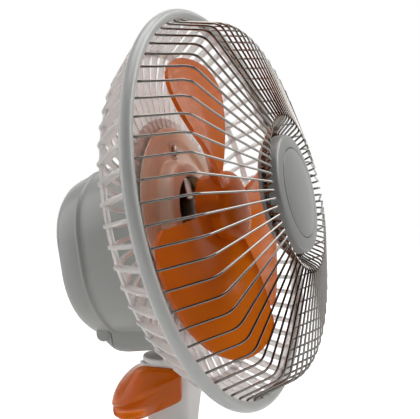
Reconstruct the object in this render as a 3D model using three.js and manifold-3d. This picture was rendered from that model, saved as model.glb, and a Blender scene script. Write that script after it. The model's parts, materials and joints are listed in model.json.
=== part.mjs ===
// Small clip fan: a wire-guarded head that tilts and swivels on a moulded neck,
// standing on a sprung clamp. Millimetres, +Z up, the fan faces -Y.
// The origin is on the supporting surface, below the middle of the whole fan.
import * as THREE from 'three';
import { mergeGeometries, mergeVertices } from 'three/addons/utils/BufferGeometryUtils.js';
import Module from 'manifold-3d';

const wasm = await Module();
wasm.setup();

// ---------------------------------------------------------------- driving dimensions
const GAP = 0.3; // clearance between pieces that touch

// where the head stands
const STAND_Y = 8.37; // swivel axis behind the middle of the whole fan
const TILT_Z = 118; // height of the tilt pin
const REST_TILT = 10.82; // degrees that the head looks up at rest
const RIM_FORWARD = 39.8; // rim plane ahead of the tilt pin, along the fan axis
const AXIS_RISE = 49; // fan axis above the tilt pin, square to the fan axis

// guards (radii from the fan axis, heights forward of the rim plane)
const WIRE_COUNT = 66;
const WIRE_PHASE = 0.67; // share of a wire's pitch between the level line and the next wire
const WIRE_R = 0.55;
const RING_WIRE_R = 0.75;
const RING_R = 87.3; // rim ring that the wires are welded to
const SHOULDER_INSET = 8.8; // how far the wires lean in between rim and shoulder
const SHOULDER_R = RING_R - SHOULDER_INSET;
const SHOULDER_H = 18.8;
const CREST_R = 34.3;
const CREST_H = 32.3;
const BADGE_R = 26;
const RIB_COUNT = 60;
const RIB_WIDTH = 2;
const SKIN = 2; // wall of the rear guard
const FIN = 1; // how far the ribs stand out of that wall

// fan
const BLADE_COUNT = 3;
const TIP_CLEARANCE = 7.5; // blade tips inside the guard's shoulder
const TIP_R = SHOULDER_R - TIP_CLEARANCE;
const HUB_R = 14.5;
const BLADE_THICKNESS = 1.8;
const SHAFT_R = 1.6;

// motor housing (a rounded upright case behind the rear guard)
const CASE_WALL = 2.2;
const CASE_TOP_S = 4.6; // centre of the upper half round, below the fan axis
const CASE_LOW_S = 17.8; // centre of the lower half round
const CASE_FRONT_H = -29;
const SEAM_H = -63.8; // parting plane of the two shells
const DISC_R = 42.8;
const DISC_FRONT_H = -26.9;
const COVER_R = 37.9; // neck of the motor cover, inside the rear guard's inner ring
const COVER_OPENING_R = 18.2;
const STATOR_R = 21;
const BOSS_HALF = 18; // half width of the tilt boss
const BOSS_DROP = 9.2; // boss underside below the tilt pin
const TONGUE_HALF = 3.6;
const PIN_R = 2;

// neck and clamp
const COLLAR_R = 15.9;
const COLLAR_TOP = TILT_Z - 14.2;
const COLLAR_LOW = TILT_Z - 16.7;
const NECK_TOP = COLLAR_LOW - GAP;
const STEM_R = 4.5;
const JAW_HALF = 22; // half width of the clamp jaws
const JAW_FRONT = -58;
const JAW_REAR = 21;
const UPPER_JAW_LOW = 22.5;
const LOWER_JAW_TOP = 11;
const HINGE_Y = 8;
const HINGE_Z = 29;
const EAR_R = 6.3;
const EAR_THICKNESS = 3.5;
const CAVITY_HALF = 17.6; // half width of the hollow in the upper jaw
const PAD_HALF = 16;
const PAD_THICKNESS = 3;
const SPRING_CURLS = 5;
const SPRING_WIRE_R = 0.9;
const SPRING_R = 5.2;

// ---------------------------------------------------------------- colours
const WHITE = { color: '#d3d2cd', roughness: 0.38, metalness: 0 };
const MILKY = { color: '#dcd9d4', roughness: 0.3, metalness: 0 };
const ORANGE = { color: '#c9561c', roughness: 0.22, metalness: 0 };
const CHROME = { color: '#9a9792', roughness: 0.2, metalness: 1 };
const STEEL = { color: '#8d8c88', roughness: 0.35, metalness: 1 };
const GREY = { color: '#b7b7b4', roughness: 0.35, metalness: 0 };
const RUBBER = { color: '#3a3a3a', roughness: 0.8, metalness: 0 };
const WINDING = { color: '#4a2a1c', roughness: 0.5, metalness: 0.2 };

// ---------------------------------------------------------------- solids and booleans
const vec = (x, y, z) => new THREE.Vector3(x, y, z);
const flat = (x, y) => new THREE.Vector2(x, y);
const radians = THREE.MathUtils.degToRad;
const lerp = THREE.MathUtils.lerp;

function signedVolume(position, index) {
  const [a, b, c] = [vec(), vec(), vec()];
  let volume = 0;
  for (let i = 0; i < index.count; i += 3) {
    a.fromBufferAttribute(position, index.getX(i));
    b.fromBufferAttribute(position, index.getX(i + 1));
    c.fromBufferAttribute(position, index.getX(i + 2));
    volume += a.dot(b.cross(c)) / 6;
  }
  return volume;
}

/** A closed geometry as a manifold solid, with its faces turned outwards. */
function solid(geometry) {
  const bare = geometry.clone();
  for (const name of ['normal', 'uv']) bare.deleteAttribute(name);
  const merged = mergeVertices(bare, 1e-4);
  const inward = signedVolume(merged.attributes.position, merged.index) < 0;
  const triangles = [];
  for (let i = 0; i < merged.index.count; i += 3) {
    const [a, b, c] = [0, 1, 2].map((k) => merged.index.getX(i + k));
    if (a !== b && b !== c && c !== a) triangles.push(...(inward ? [a, c, b] : [a, b, c]));
  }
  return new wasm.Manifold(new wasm.Mesh({
    numProp: 3,
    vertProperties: merged.attributes.position.array,
    triVerts: Uint32Array.from(triangles),
  }));
}

function geometryOf(manifold) {
  const mesh = manifold.getMesh();
  const geometry = new THREE.BufferGeometry();
  geometry.setAttribute('position', new THREE.BufferAttribute(Float32Array.from(mesh.vertProperties), 3));
  geometry.setIndex(new THREE.BufferAttribute(Uint32Array.from(mesh.triVerts), 1));
  geometry.computeVertexNormals();
  return geometry;
}

const join = (...solids) => solids.reduce((whole, part) => whole.add(part));
const cut = (body, ...tools) => tools.reduce((whole, tool) => whole.subtract(tool), body);

// ---------------------------------------------------------------- shape helpers
/** A profile of [radius, height] pairs turned about the Y axis. */
function revolve(profile, segments = 32) {
  return new THREE.LatheGeometry(profile.map(([r, h]) => flat(r, h)), segments);
}

/** A closed ring section, turned about the Y axis. */
const ring = (section, segments) => revolve([...section, section[0]], segments);

/** A round section of a ring wire. */
function roundSection(r, h, radius, sides) {
  const corners = [];
  for (let i = 0; i < sides; i += 1) {
    const angle = ((i + 0.5) / sides) * 2 * Math.PI;
    corners.push([r + radius * Math.cos(angle), h + radius * Math.sin(angle)]);
  }
  return corners;
}

const box = (x0, x1, y0, y1, z0, z1) => new THREE.BoxGeometry(x1 - x0, y1 - y0, z1 - z0)
  .translate((x0 + x1) / 2, (y0 + y1) / 2, (z0 + z1) / 2);

/** A cylinder along X, Y or Z between two places on that axis. */
function rod(axis, radius, from, to, segments = 20) {
  const geometry = new THREE.CylinderGeometry(radius, radius, to - from, segments);
  geometry.translate(0, (from + to) / 2, 0);
  if (axis === 'x') geometry.rotateZ(-Math.PI / 2);
  if (axis === 'z') geometry.rotateX(Math.PI / 2);
  return geometry;
}

const outline = (points) => new THREE.Shape(points.map(([x, y]) => flat(x, y)));

/** An outline drawn in the YZ plane, extruded across X from one side to the other. */
function acrossX(shape, half, bevel = 0) {
  const geometry = new THREE.ExtrudeGeometry(shape, {
    depth: 2 * (half - bevel),
    bevelEnabled: bevel > 0,
    bevelThickness: bevel,
    bevelSize: bevel,
    bevelOffset: -bevel,
    bevelSegments: 2,
    curveSegments: 6,
  });
  geometry.translate(0, 0, bevel - half);
  return geometry.applyMatrix4(new THREE.Matrix4().makeBasis(vec(0, 1, 0), vec(0, 0, 1), vec(1, 0, 0)));
}

/** An outline in the XY plane, extruded up Z. */
function upZ(shape, low, high) {
  const geometry = new THREE.ExtrudeGeometry(shape, { depth: high - low, bevelEnabled: false, curveSegments: 8 });
  return geometry.translate(0, 0, low);
}

/** Closed skin over rings of equally many points, with flat ends. */
function loft(rings) {
  const count = rings[0].length;
  const positions = rings.flat().flatMap((p) => [p.x, p.y, p.z]);
  const index = [];
  for (let i = 0; i + 1 < rings.length; i += 1) {
    for (let j = 0; j < count; j += 1) {
      const a = i * count + j;
      const b = i * count + ((j + 1) % count);
      index.push(a, b, b + count, a, b + count, a + count);
    }
  }
  const last = (rings.length - 1) * count;
  for (let j = 1; j + 1 < count; j += 1) index.push(0, j + 1, j, last, last + j, last + j + 1);
  const geometry = new THREE.BufferGeometry();
  geometry.setAttribute('position', new THREE.Float32BufferAttribute(positions, 3));
  geometry.setIndex(index);
  return geometry;
}

/** A rounded rectangle at height z, for a loft. */
function roundedRing(halfX, halfY, radius, z, centreY = 0, steps = 3) {
  const corners = [[1, 1], [-1, 1], [-1, -1], [1, -1]];
  return corners.flatMap(([signX, signY], quarter) => {
    const points = [];
    for (let i = 0; i <= steps; i += 1) {
      const angle = (quarter + i / steps) * (Math.PI / 2);
      points.push(vec(
        signX * (halfX - radius) + radius * Math.cos(angle),
        centreY + signY * (halfY - radius) + radius * Math.sin(angle),
        z,
      ));
    }
    return points;
  });
}

/** A round wire that follows a path lying in the XY plane. */
function planeWire(path, radius, sides) {
  const rings = path.map((point, i) => {
    const before = path[Math.max(i - 1, 0)];
    const after = path[Math.min(i + 1, path.length - 1)];
    const along = flat(after[0] - before[0], after[1] - before[1]).normalize();
    const corners = [];
    for (let k = 0; k < sides; k += 1) {
      const angle = ((k + 0.5) / sides) * 2 * Math.PI;
      const side = radius * Math.cos(angle);
      corners.push(vec(point[0] - along.y * side, point[1] + along.x * side, radius * Math.sin(angle)));
    }
    return corners;
  });
  return loft(rings);
}

function mesh(name, shape, look) {
  const geometry = shape instanceof THREE.BufferGeometry ? geometryOf(solid(shape)) : geometryOf(shape);
  const piece = new THREE.Mesh(geometry, new THREE.MeshStandardMaterial(look));
  piece.name = name;
  return piece;
}

// ---------------------------------------------------------------- front guard
// In the fan's frame Y runs forward along the fan axis and Z runs down, square to it.
const RIM_BACK_H = -3.4;
const RIM_LIP_R = RING_R - 0.8; // the wires leave the rim just inside this lip
const RIM_WALL_R = RING_R + 1.1;
const RIM_CEILING_H = -0.3;
const RIM_SEGMENTS = 48;

function rimBand() {
  const section = [
    [RIM_WALL_R, RIM_BACK_H], [RIM_WALL_R + 0.9, RIM_BACK_H], [RIM_WALL_R + 1.9, -1.9], [RIM_WALL_R + 2.1, -0.4],
    [RIM_WALL_R + 1.5, 1.1], [RIM_WALL_R + 0.4, 1.8], [RIM_WALL_R - 0.8, 1.6], [RIM_LIP_R, 0.8], [RIM_LIP_R, RIM_CEILING_H], [RIM_WALL_R, RIM_CEILING_H],
  ];
  return ring(section, RIM_SEGMENTS);
}

const RING_FLAT = RING_WIRE_R * Math.SQRT1_2; // half height of the four-sided ring wires
const RING_H = RIM_CEILING_H - GAP - RING_FLAT;
const HUB_RING_R = BADGE_R - 1.6;
const HUB_RING_H = CREST_H - 6.6;

/** One wire of the front guard: out of the rim, round the shoulder, over the crest, in under the badge. */
function guardWirePath() {
  return [
    [RING_R, RING_H],
    [RIM_LIP_R - GAP - WIRE_R - 0.1, RING_H + 0.5],
    [SHOULDER_R + 0.5, SHOULDER_H - 1.8],
    [SHOULDER_R - 2, SHOULDER_H + 0.8],
    [CREST_R, CREST_H - 0.2],
    [BADGE_R + 2.2, HUB_RING_H + 0.3],
    [HUB_RING_R, HUB_RING_H],
  ];
}

function frontGuard() {
  const wires = [];
  for (let i = 0; i < WIRE_COUNT; i += 1) {
    const wire = planeWire(guardWirePath(), WIRE_R, 4);
    wires.push(wire.rotateY(((i + WIRE_PHASE) / WIRE_COUNT) * 2 * Math.PI));
  }
  return join(
    solid(mergeGeometries(wires)),
    solid(ring(roundSection(RING_R, RING_H, RING_WIRE_R, 4), WIRE_COUNT / 2)),
    solid(ring(roundSection(HUB_RING_R, HUB_RING_H, RING_WIRE_R, 4), WIRE_COUNT / 2)),
  );
}

// ---------------------------------------------------------------- badge
const BADGE_BACK_H = HUB_RING_H + RING_WIRE_R + GAP; // foot of the badge's skirt, over the wires
const BADGE_EDGE_H = CREST_H - 1.15; // where the skirt turns into the domed face
const CLAMP_FRONT_H = HUB_RING_H - RING_FLAT - GAP;
const CLAMP_BACK_H = CLAMP_FRONT_H - 2.2;
const BADGE_SCREW_R = 1.3;
const LINE_R = 19.9; // engraved ring of the badge

/** Domed disc with an engraved ring and a screw boss behind it. */
function badge() {
  const boss = 4;
  const bore = BADGE_SCREW_R + GAP;
  return revolve([
    [0, BADGE_EDGE_H - 0.6], [bore, BADGE_EDGE_H - 0.6], [bore, CLAMP_FRONT_H + GAP], [boss, CLAMP_FRONT_H + GAP],
    [boss, BADGE_EDGE_H - 1], [BADGE_R - 1.6, BADGE_EDGE_H - 1], [BADGE_R - 1.2, BADGE_BACK_H],
    [BADGE_R + 0.4, BADGE_BACK_H], [BADGE_R, BADGE_EDGE_H],
    [LINE_R + 0.6, BADGE_EDGE_H + 0.95], [LINE_R, BADGE_EDGE_H + 0.4], [LINE_R - 0.7, BADGE_EDGE_H + 1.2],
    [11, BADGE_EDGE_H + 1.9], [0, BADGE_EDGE_H + 2.1],
  ], 28);
}

/** Plate behind the wires that grips their inner ring. */
function badgeClamp() {
  const bore = BADGE_SCREW_R + GAP;
  return ring([
    [bore, CLAMP_BACK_H], [BADGE_R - 0.8, CLAMP_BACK_H], [BADGE_R, CLAMP_BACK_H + 0.8],
    [BADGE_R, CLAMP_FRONT_H], [bore, CLAMP_FRONT_H],
  ], 28);
}

function screw(headR, headHeight, shankR, length) {
  return revolve([
    [0, -length], [shankR, -length], [shankR, 0], [headR, 0], [headR, headHeight * 0.6],
    [headR * 0.6, headHeight], [0, headHeight],
  ], 8);
}

// ---------------------------------------------------------------- rear guard
const FLANGE_R = RIM_WALL_R * Math.cos(Math.PI / RIM_SEGMENTS) - GAP;
const FLANGE_TOP_H = RING_H - RING_FLAT - GAP - 0.36;
const GUARD_OUTLINE = [ // outer face of the wall, rim first
  [FLANGE_R, FLANGE_TOP_H], [FLANGE_R - 0.7, RIM_BACK_H - 1.2], [FLANGE_R - 8.9, -16.4], [FLANGE_R - 15, -23.3],
  [COVER_R + 5.5, -26.1], [COVER_R + 0.7, DISC_FRONT_H + GAP],
];
const GUARD_SOLID_ROWS = [true, false, true, false, true];
const GUARD_FIN_ROWS = [false, true, true, false, false];

/** The outline moved inwards (negative) or outwards, square to itself. */
function offsetOutline(points, distance) {
  return points.map((point, i) => {
    const before = points[Math.max(i - 1, 0)];
    const after = points[Math.min(i + 1, points.length - 1)];
    const along = flat(after[0] - before[0], after[1] - before[1]).normalize();
    return [point[0] - along.y * distance, point[1] + along.x * distance];
  });
}

/** Dish of radial ribs tied by solid rings, built cell by cell on a grid round the axis. */
function rearGuard() {
  const layers = [-SKIN, 0, FIN].map((distance) => offsetOutline(GUARD_OUTLINE, distance));
  const rows = GUARD_OUTLINE.length - 1;
  const columns = 2 * RIB_COUNT;
  const filled = (row, column, layer) => {
    if (row < 0 || row >= rows || layer < 0 || layer > 1) return false;
    const onRib = (column + columns) % 2 === 0;
    if (layer === 1) return onRib && GUARD_FIN_ROWS[row];
    return onRib || GUARD_SOLID_ROWS[row];
  };
  const corner = (row, column, layer) => {
    const [r, h] = layers[layer][row];
    const rib = Math.floor(column / 2) * ((2 * Math.PI) / RIB_COUNT);
    const side = Math.asin(RIB_WIDTH / 2 / r) * (column % 2 === 0 ? -1 : 1);
    return [r * Math.sin(rib + side), h, r * Math.cos(rib + side)];
  };
  const positions = [];
  const quad = (...corners) => {
    const [a, b, c, d] = corners.map((place) => corner(...place));
    positions.push(...a, ...b, ...c, ...a, ...c, ...d);
  };
  for (let i = 0; i < rows; i += 1) {
    for (let j = 0; j < columns; j += 1) {
      for (let k = 0; k < 2; k += 1) {
        if (!filled(i, j, k)) continue;
        const [i1, j1, k1] = [i + 1, j + 1, k + 1];
        if (!filled(i, j, k - 1)) quad([i, j, k], [i1, j, k], [i1, j1, k], [i, j1, k]);
        if (!filled(i, j, k + 1)) quad([i, j, k1], [i, j1, k1], [i1, j1, k1], [i1, j, k1]);
        if (!filled(i - 1, j, k)) quad([i, j, k], [i, j1, k], [i, j1, k1], [i, j, k1]);
        if (!filled(i + 1, j, k)) quad([i1, j, k], [i1, j, k1], [i1, j1, k1], [i1, j1, k]);
        if (!filled(i, j - 1, k)) quad([i, j, k], [i, j, k1], [i1, j, k1], [i1, j, k]);
        if (!filled(i, j + 1, k)) quad([i, j1, k], [i1, j1, k], [i1, j1, k1], [i, j1, k1]);
      }
    }
  }
  const geometry = new THREE.BufferGeometry();
  geometry.setAttribute('position', new THREE.Float32BufferAttribute(positions, 3));
  return geometry;
}

// ---------------------------------------------------------------- motor cover
const COVER_SCREW_R = 1.2;
const COVER_SCREW_RADIUS = 31.5;
const COVER_LIP_H = DISC_FRONT_H + GAP + SKIN + GAP;

/** Raised cover in the middle of the rear guard; its lip grips the guard's inner ring. */
function motorCover() {
  const back = DISC_FRONT_H + GAP;
  const body = solid(ring([
    [24, back], [COVER_R, back], [COVER_R, COVER_LIP_H], [COVER_R + 4.3, COVER_LIP_H + 0.5],
    [COVER_R + 4.3, COVER_LIP_H + 1.5], [COVER_R - 1.5, COVER_LIP_H + 1.3], [COVER_R - 2.5, back + 1.7], [26.4, back + 1.7], [25.2, -19.4],
    [23.8, -18], [COVER_OPENING_R, -17.6], [COVER_OPENING_R, -19.4], [22.9, -19.8],
  ], 28));
  return cut(body, ...coverScrewPlaces().map(([x, s]) => solid(
    rod('y', COVER_SCREW_R + GAP, back - 1, back + 3, 8).translate(x, 0, s),
  )));
}

function coverScrewPlaces() {
  return [30, 150, 270].map((angle) => [
    COVER_SCREW_RADIUS * Math.cos(radians(angle)), COVER_SCREW_RADIUS * Math.sin(radians(angle)),
  ]);
}

// ---------------------------------------------------------------- motor housing
/** Upright rounded case section at h, its half rounds of radius r. */
function caseRing(r, h, steps = 8) {
  const points = [];
  for (let i = 0; i <= steps; i += 1) {
    const angle = (i / steps) * Math.PI;
    points.push(vec(r * Math.cos(angle), h, CASE_LOW_S + r * Math.sin(angle)));
  }
  for (let i = 0; i <= steps; i += 1) {
    const angle = (1 + i / steps) * Math.PI;
    points.push(vec(r * Math.cos(angle), h, CASE_TOP_S + r * Math.sin(angle)));
  }
  return points;
}

const CASE_STATIONS = [ // half-round radius at each h, front to back
  [37.2, CASE_FRONT_H], [35.4, -50], [33.2, SEAM_H], [32, -72], [30.4, -75.8], [26.5, -78.7], [19, -79.9],
];

function caseSolid(inset) {
  const rings = CASE_STATIONS.map(([r, h]) => caseRing(r - inset, Math.max(h, -79.9 + inset)));
  if (inset > 0) rings.splice(-2, 2, caseRing(CASE_STATIONS.at(-2)[0] - inset, -79.9 + inset));
  return solid(loft(rings));
}

/** Underslung boss that holds the tilt pin, drawn in the plane of the fan axis and the neck. */
function bossSolid() {
  const [pinH, pinS] = [-RIM_FORWARD, AXIS_RISE];
  const shape = new THREE.Shape();
  shape.moveTo(-60, 26);
  shape.lineTo(-76.6, 34);
  shape.lineTo(-76.2, 40.5);
  shape.lineTo(-70, 50.2);
  shape.quadraticCurveTo(-66, 56.6, -59.2, pinS + BOSS_DROP - 0.6);
  shape.lineTo(pinH - 6, pinS + BOSS_DROP);
  shape.lineTo(pinH, pinS + BOSS_DROP);
  shape.quadraticCurveTo(pinH + 9.2, pinS + BOSS_DROP, pinH + 9.2, pinS);
  shape.lineTo(pinH + 9.2, 26);
  return solid(acrossX(shape, BOSS_HALF, 2.6));
}

const SLOT_HALF = TONGUE_HALF + GAP + 1.1 + GAP; // the tongue and a friction washer each side
const PIN_HEAD_R = 4.2;
const PIN_HEAD_DEPTH = 2.8;

/** Everything taken out of the case round the tilt pin. */
function tiltCuts() {
  const [h, s] = [-RIM_FORWARD, AXIS_RISE];
  const pocket = (from, to) => solid(rod('x', PIN_HEAD_R + GAP, from, to, 18).translate(0, h, s));
  return [
    solid(box(-SLOT_HALF, SLOT_HALF, h - 11.5, h + 7.4, s - 8.5, s + BOSS_DROP + 2)),
    solid(box(-SLOT_HALF, SLOT_HALF, h, h + 12, s - 2, s + BOSS_DROP + 2)),
    solid(rod('x', PIN_R + GAP, -BOSS_HALF - 1, BOSS_HALF + 1, 14).translate(0, h, s)),
    pocket(BOSS_HALF - PIN_HEAD_DEPTH, BOSS_HALF + 1),
    pocket(-BOSS_HALF - 1, PIN_HEAD_DEPTH - BOSS_HALF),
  ];
}

/** Hollow of the case, kept clear of the boss so that the pin has solid cheeks. */
function caseHollow() {
  const floor = AXIS_RISE - 12.5;
  return caseSolid(CASE_WALL).subtract(solid(box(-60, 60, -90, 0, floor, 90)));
}

const LIP_LENGTH = 4;

/** Front shell: case wall, round mounting disc, motor socket and the front of the boss. */
function frontShell() {
  const socketR = STATOR_R + GAP;
  const shell = join(caseSolid(0), bossSolid()).intersect(solid(box(-60, 60, SEAM_H + GAP / 2, 0, -60, 90)));
  const disc = solid(rod('y', DISC_R, DISC_FRONT_H - 4, DISC_FRONT_H, 36));
  const socket = solid(ring([
    [socketR, -53], [socketR + 2, -53], [socketR + 2, -29], [socketR, -29],
  ], 24));
  const hollow = caseHollow().intersect(solid(box(-60, 60, -90, DISC_FRONT_H - 4, -60, 90)));
  const lip = caseSolid(CASE_WALL + GAP)
    .subtract(caseSolid(CASE_WALL + GAP + 1.2))
    .intersect(solid(box(-60, 60, SEAM_H - LIP_LENGTH, SEAM_H + 3, -60, AXIS_RISE - 13.5)));
  const bridge = caseSolid(CASE_WALL - 0.4)
    .subtract(caseSolid(CASE_WALL + GAP + 1.2))
    .intersect(solid(box(-60, 60, SEAM_H + GAP / 2, SEAM_H + 3, -60, AXIS_RISE - 13.5)));
  const opening = solid(rod('y', COVER_OPENING_R + 1, -34, 0, 24));
  const screws = coverScrewPlaces().map(([x, s]) => solid(
    rod('y', COVER_SCREW_R + GAP, -40, 0, 8).translate(x, 0, s),
  ));
  const hollowed = join(cut(join(shell, disc), hollow), socket, lip, bridge);
  return cut(hollowed, opening, ...screws, ...tiltCuts());
}

const VENT_COUNT = 5;
const VENT_PITCH = 7;

/** Rear cover: the back of the case with its vent slots and the back of the boss. */
function rearCover() {
  const shell = join(caseSolid(0), bossSolid()).intersect(solid(box(-60, 60, -95, SEAM_H - GAP / 2, -60, 90)));
  const vents = [];
  for (let i = 0; i < VENT_COUNT; i += 1) {
    const s = CASE_TOP_S - 4 + i * VENT_PITCH;
    vents.push(solid(box(-15, 15, -85, -74, s, s + 2.4)));
  }
  return cut(shell, caseHollow(), ...vents);
}

// ---------------------------------------------------------------- motor
const CORE_FRONT_H = -35;
const CORE_BACK_H = -51;
const WINDING_FRONT_H = -23.6;
const WINDING_BACK_H = CORE_BACK_H - 8;
const WINDING_R = 13.4;
const ROTOR_R = 9.5;
const BRACKET_FRONT_H = -13.2;

/** Laminated stack with slots for the windings. */
function statorCore() {
  const stack = solid(ring([
    [ROTOR_R + 0.5, CORE_BACK_H], [STATOR_R, CORE_BACK_H], [STATOR_R, CORE_FRONT_H], [ROTOR_R + 0.5, CORE_FRONT_H],
  ], 24));
  const slots = [];
  for (let i = 0; i < 6; i += 1) {
    slots.push(solid(rod('y', 2.2, CORE_BACK_H - 1, CORE_FRONT_H + 1, 6).translate(14, 0, 0)
      .rotateY(((i + 0.5) / 6) * 2 * Math.PI)));
  }
  return cut(stack, ...slots);
}

/** One end turn of the winding: a fat ring swelling over each tooth. */
function windingEnd(near, far) {
  const swell = 6;
  const rings = [];
  const steps = 18;
  for (let i = 0; i <= steps; i += 1) {
    const angle = (i / steps) * 2 * Math.PI;
    const fat = 0.8 + 0.2 * Math.cos(swell * angle);
    const section = roundSection(WINDING_R, 0, 1, 6).map(([r, h]) => [
      WINDING_R + (r - WINDING_R) * 2.5 * fat, lerp(near, far, 0.5 + 0.5 * h * (0.7 + 0.3 * fat)),
    ]);
    rings.push(section.map(([r, h]) => vec(r * Math.cos(angle), h, r * Math.sin(angle))));
  }
  return closedLoft(rings);
}

/** Skin over rings that come back to the first one. */
function closedLoft(rings) {
  const count = rings[0].length;
  const positions = [];
  for (let i = 0; i + 1 < rings.length; i += 1) {
    for (let j = 0; j < count; j += 1) {
      const k = (j + 1) % count;
      const [a, b, c, d] = [rings[i][j], rings[i][k], rings[i + 1][k], rings[i + 1][j]];
      for (const p of [a, b, c, a, c, d]) positions.push(p.x, p.y, p.z);
    }
  }
  const geometry = new THREE.BufferGeometry();
  geometry.setAttribute('position', new THREE.Float32BufferAttribute(positions, 3));
  return geometry;
}

const BEARING_R = 5;
const LEG_R = 18.2; // how far out the legs of the bearing bridges stand
const BEARING_LENGTH = 7.4;

/** Bearing bridge: a cup on three arms that stand on the stack. */
function bearingBridge(coreEnd, bearingEnd) {
  const forward = Math.sign(bearingEnd - coreEnd);
  const seat = coreEnd + forward * GAP;
  const deck = bearingEnd - forward * BEARING_LENGTH;
  const cup = solid(ring([
    [SHAFT_R + GAP, bearingEnd], [BEARING_R + 2.2, bearingEnd], [BEARING_R + 3.4, bearingEnd - forward],
    [BEARING_R + 3.4, deck - forward * 1.6], [BEARING_R + GAP, deck - forward * 1.6],
    [BEARING_R + GAP, bearingEnd - forward * 1.2], [SHAFT_R + GAP, bearingEnd - forward * 1.2],
  ], 16));
  const arms = [];
  for (let i = 0; i < 3; i += 1) {
    const spoke = box(-3, 3, Math.min(deck, deck - forward * 1.6), Math.max(deck, deck - forward * 1.6), 7, LEG_R);
    const leg = box(-3, 3, Math.min(deck, seat), Math.max(deck, seat), LEG_R - 1.6, LEG_R);
    const turn = radians(60 + i * 120);
    arms.push(solid(spoke.rotateY(turn)), solid(leg.rotateY(turn)));
  }
  return join(cup, ...arms);
}

function bearing(end, forward) {
  const [a, b] = [end - forward * (1.2 + GAP), end - forward * (BEARING_LENGTH + 1)];
  return ring([
    [SHAFT_R + 0.15, Math.min(a, b)], [BEARING_R, Math.min(a, b)], [BEARING_R, Math.max(a, b)],
    [SHAFT_R + 0.15, Math.max(a, b)],
  ], 14);
}

const SHAFT_FRONT_H = 0.2;
const REAR_BEARING_H = -68.4;

function rotorCore() {
  const bore = SHAFT_R + 0.1;
  return ring([
    [bore, CORE_BACK_H + 0.5], [ROTOR_R - 0.5, CORE_BACK_H + 0.5], [ROTOR_R, CORE_BACK_H + 1.5],
    [ROTOR_R, CORE_FRONT_H - 1.5], [ROTOR_R - 0.5, CORE_FRONT_H - 0.5], [bore, CORE_FRONT_H - 0.5],
  ], 16);
}

// ---------------------------------------------------------------- fan
const HUB_BACK_H = -11;
const BLADE_LEADING = -23; // degrees from the blade's own zero, towards the near side
const BLADE_TRAILING = 62;
const BLADE_FLAT_TO = 5; // the blade lies flat up to here and then rises to its trailing edge
const BLADE_BASE_H = -7.3;
const TIP_RISE = 16;
const ROOT_RISE = 9.3;
const LEADING_CORNER = 11;
const TRAILING_CORNER = 26;

function hub() {
  const bore = SHAFT_R + 0.1;
  const wall = 1.6;
  return revolve([
    [0, SHAFT_FRONT_H + 0.5], [bore, SHAFT_FRONT_H + 0.5], [bore, HUB_BACK_H + 1.4], [4.2, HUB_BACK_H + 1.4],
    [4.2, 3.4], [HUB_R - wall - 0.4, 3], [HUB_R - wall, 1], [HUB_R - wall, HUB_BACK_H], [HUB_R, HUB_BACK_H],
    [HUB_R, 1.2], [HUB_R - 0.6, 3.6], [HUB_R - 2.5, 5.3], [7.5, 6.1], [0, 6.3],
  ], 20);
}

/** Forward place of the blade's middle surface at a radius and an angle. */
function bladeHeight(radius, angle) {
  const rise = lerp(ROOT_RISE, TIP_RISE, (radius - HUB_R) / (TIP_R - HUB_R));
  const past = Math.max(0, angle - BLADE_FLAT_TO) / (BLADE_TRAILING - BLADE_FLAT_TO);
  return BLADE_BASE_H + rise * past ** 2;
}

/** Tip radius at an angle, drawn in by a round corner at each side. */
function bladeReach(angle) {
  const corner = (degreesIn, width, depth) => {
    const short = Math.max(0, 1 - degreesIn / width);
    return depth * (1 - Math.sqrt(1 - short ** 2));
  };
  return TIP_R - corner(angle - BLADE_LEADING, LEADING_CORNER, 11) - corner(BLADE_TRAILING - angle, TRAILING_CORNER, 19);
}

function blade(turn) {
  const angles = [0, 0.03, 0.12, 0.27, 0.44, 0.6, 0.75, 0.87, 0.96, 1]
    .map((share) => lerp(BLADE_LEADING, BLADE_TRAILING, share));
  const steps = 5;
  const root = HUB_R - 1.1;
  const rings = angles.map((angle) => {
    const thin = angle === angles[0] || angle === angles.at(-1) ? 0.45 : 1;
    const side = (sign) => {
      const points = [];
      for (let i = 0; i <= steps; i += 1) {
        const radius = lerp(root, bladeReach(angle), i / steps);
        const theta = radians(angle + turn);
        const h = bladeHeight(radius, angle) + sign * thin * BLADE_THICKNESS * 0.5;
        points.push(vec(-radius * Math.sin(theta), h, -radius * Math.cos(theta)));
      }
      return points;
    };
    return [...side(1), ...side(-1).reverse()];
  });
  return loft(rings);
}

function fanBlades() {
  const blades = [];
  for (let i = 0; i < BLADE_COUNT; i += 1) blades.push(solid(blade((i * 360) / BLADE_COUNT)));
  return join(solid(hub()), ...blades);
}

// ---------------------------------------------------------------- tilt joint and swivel
function tiltPin() {
  const end = BOSS_HALF - PIN_HEAD_DEPTH + GAP;
  return join(
    solid(rod('x', PIN_R, -end - 0.6, end, 14)),
    solid(rod('x', PIN_HEAD_R, end, BOSS_HALF - 0.4, 18)),
  );
}

/** Press cap on the far end of the tilt pin. */
function tiltPinCap() {
  const end = BOSS_HALF - PIN_HEAD_DEPTH + GAP;
  return cut(
    solid(rod('x', PIN_HEAD_R, -BOSS_HALF + 0.4, -end, 18)),
    solid(rod('x', PIN_R + GAP, -end - 0.6 - GAP, -end + 1, 14)),
  );
}

function frictionWasher(from) {
  return cut(solid(rod('x', 5.2, from, from + 1.1, 14)), solid(rod('x', PIN_R + GAP, from - 1, from + 3, 10)));
}

const TONGUE_RADIUS = 5.5;
const CLIP_Z = TILT_Z - 36.5;

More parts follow.
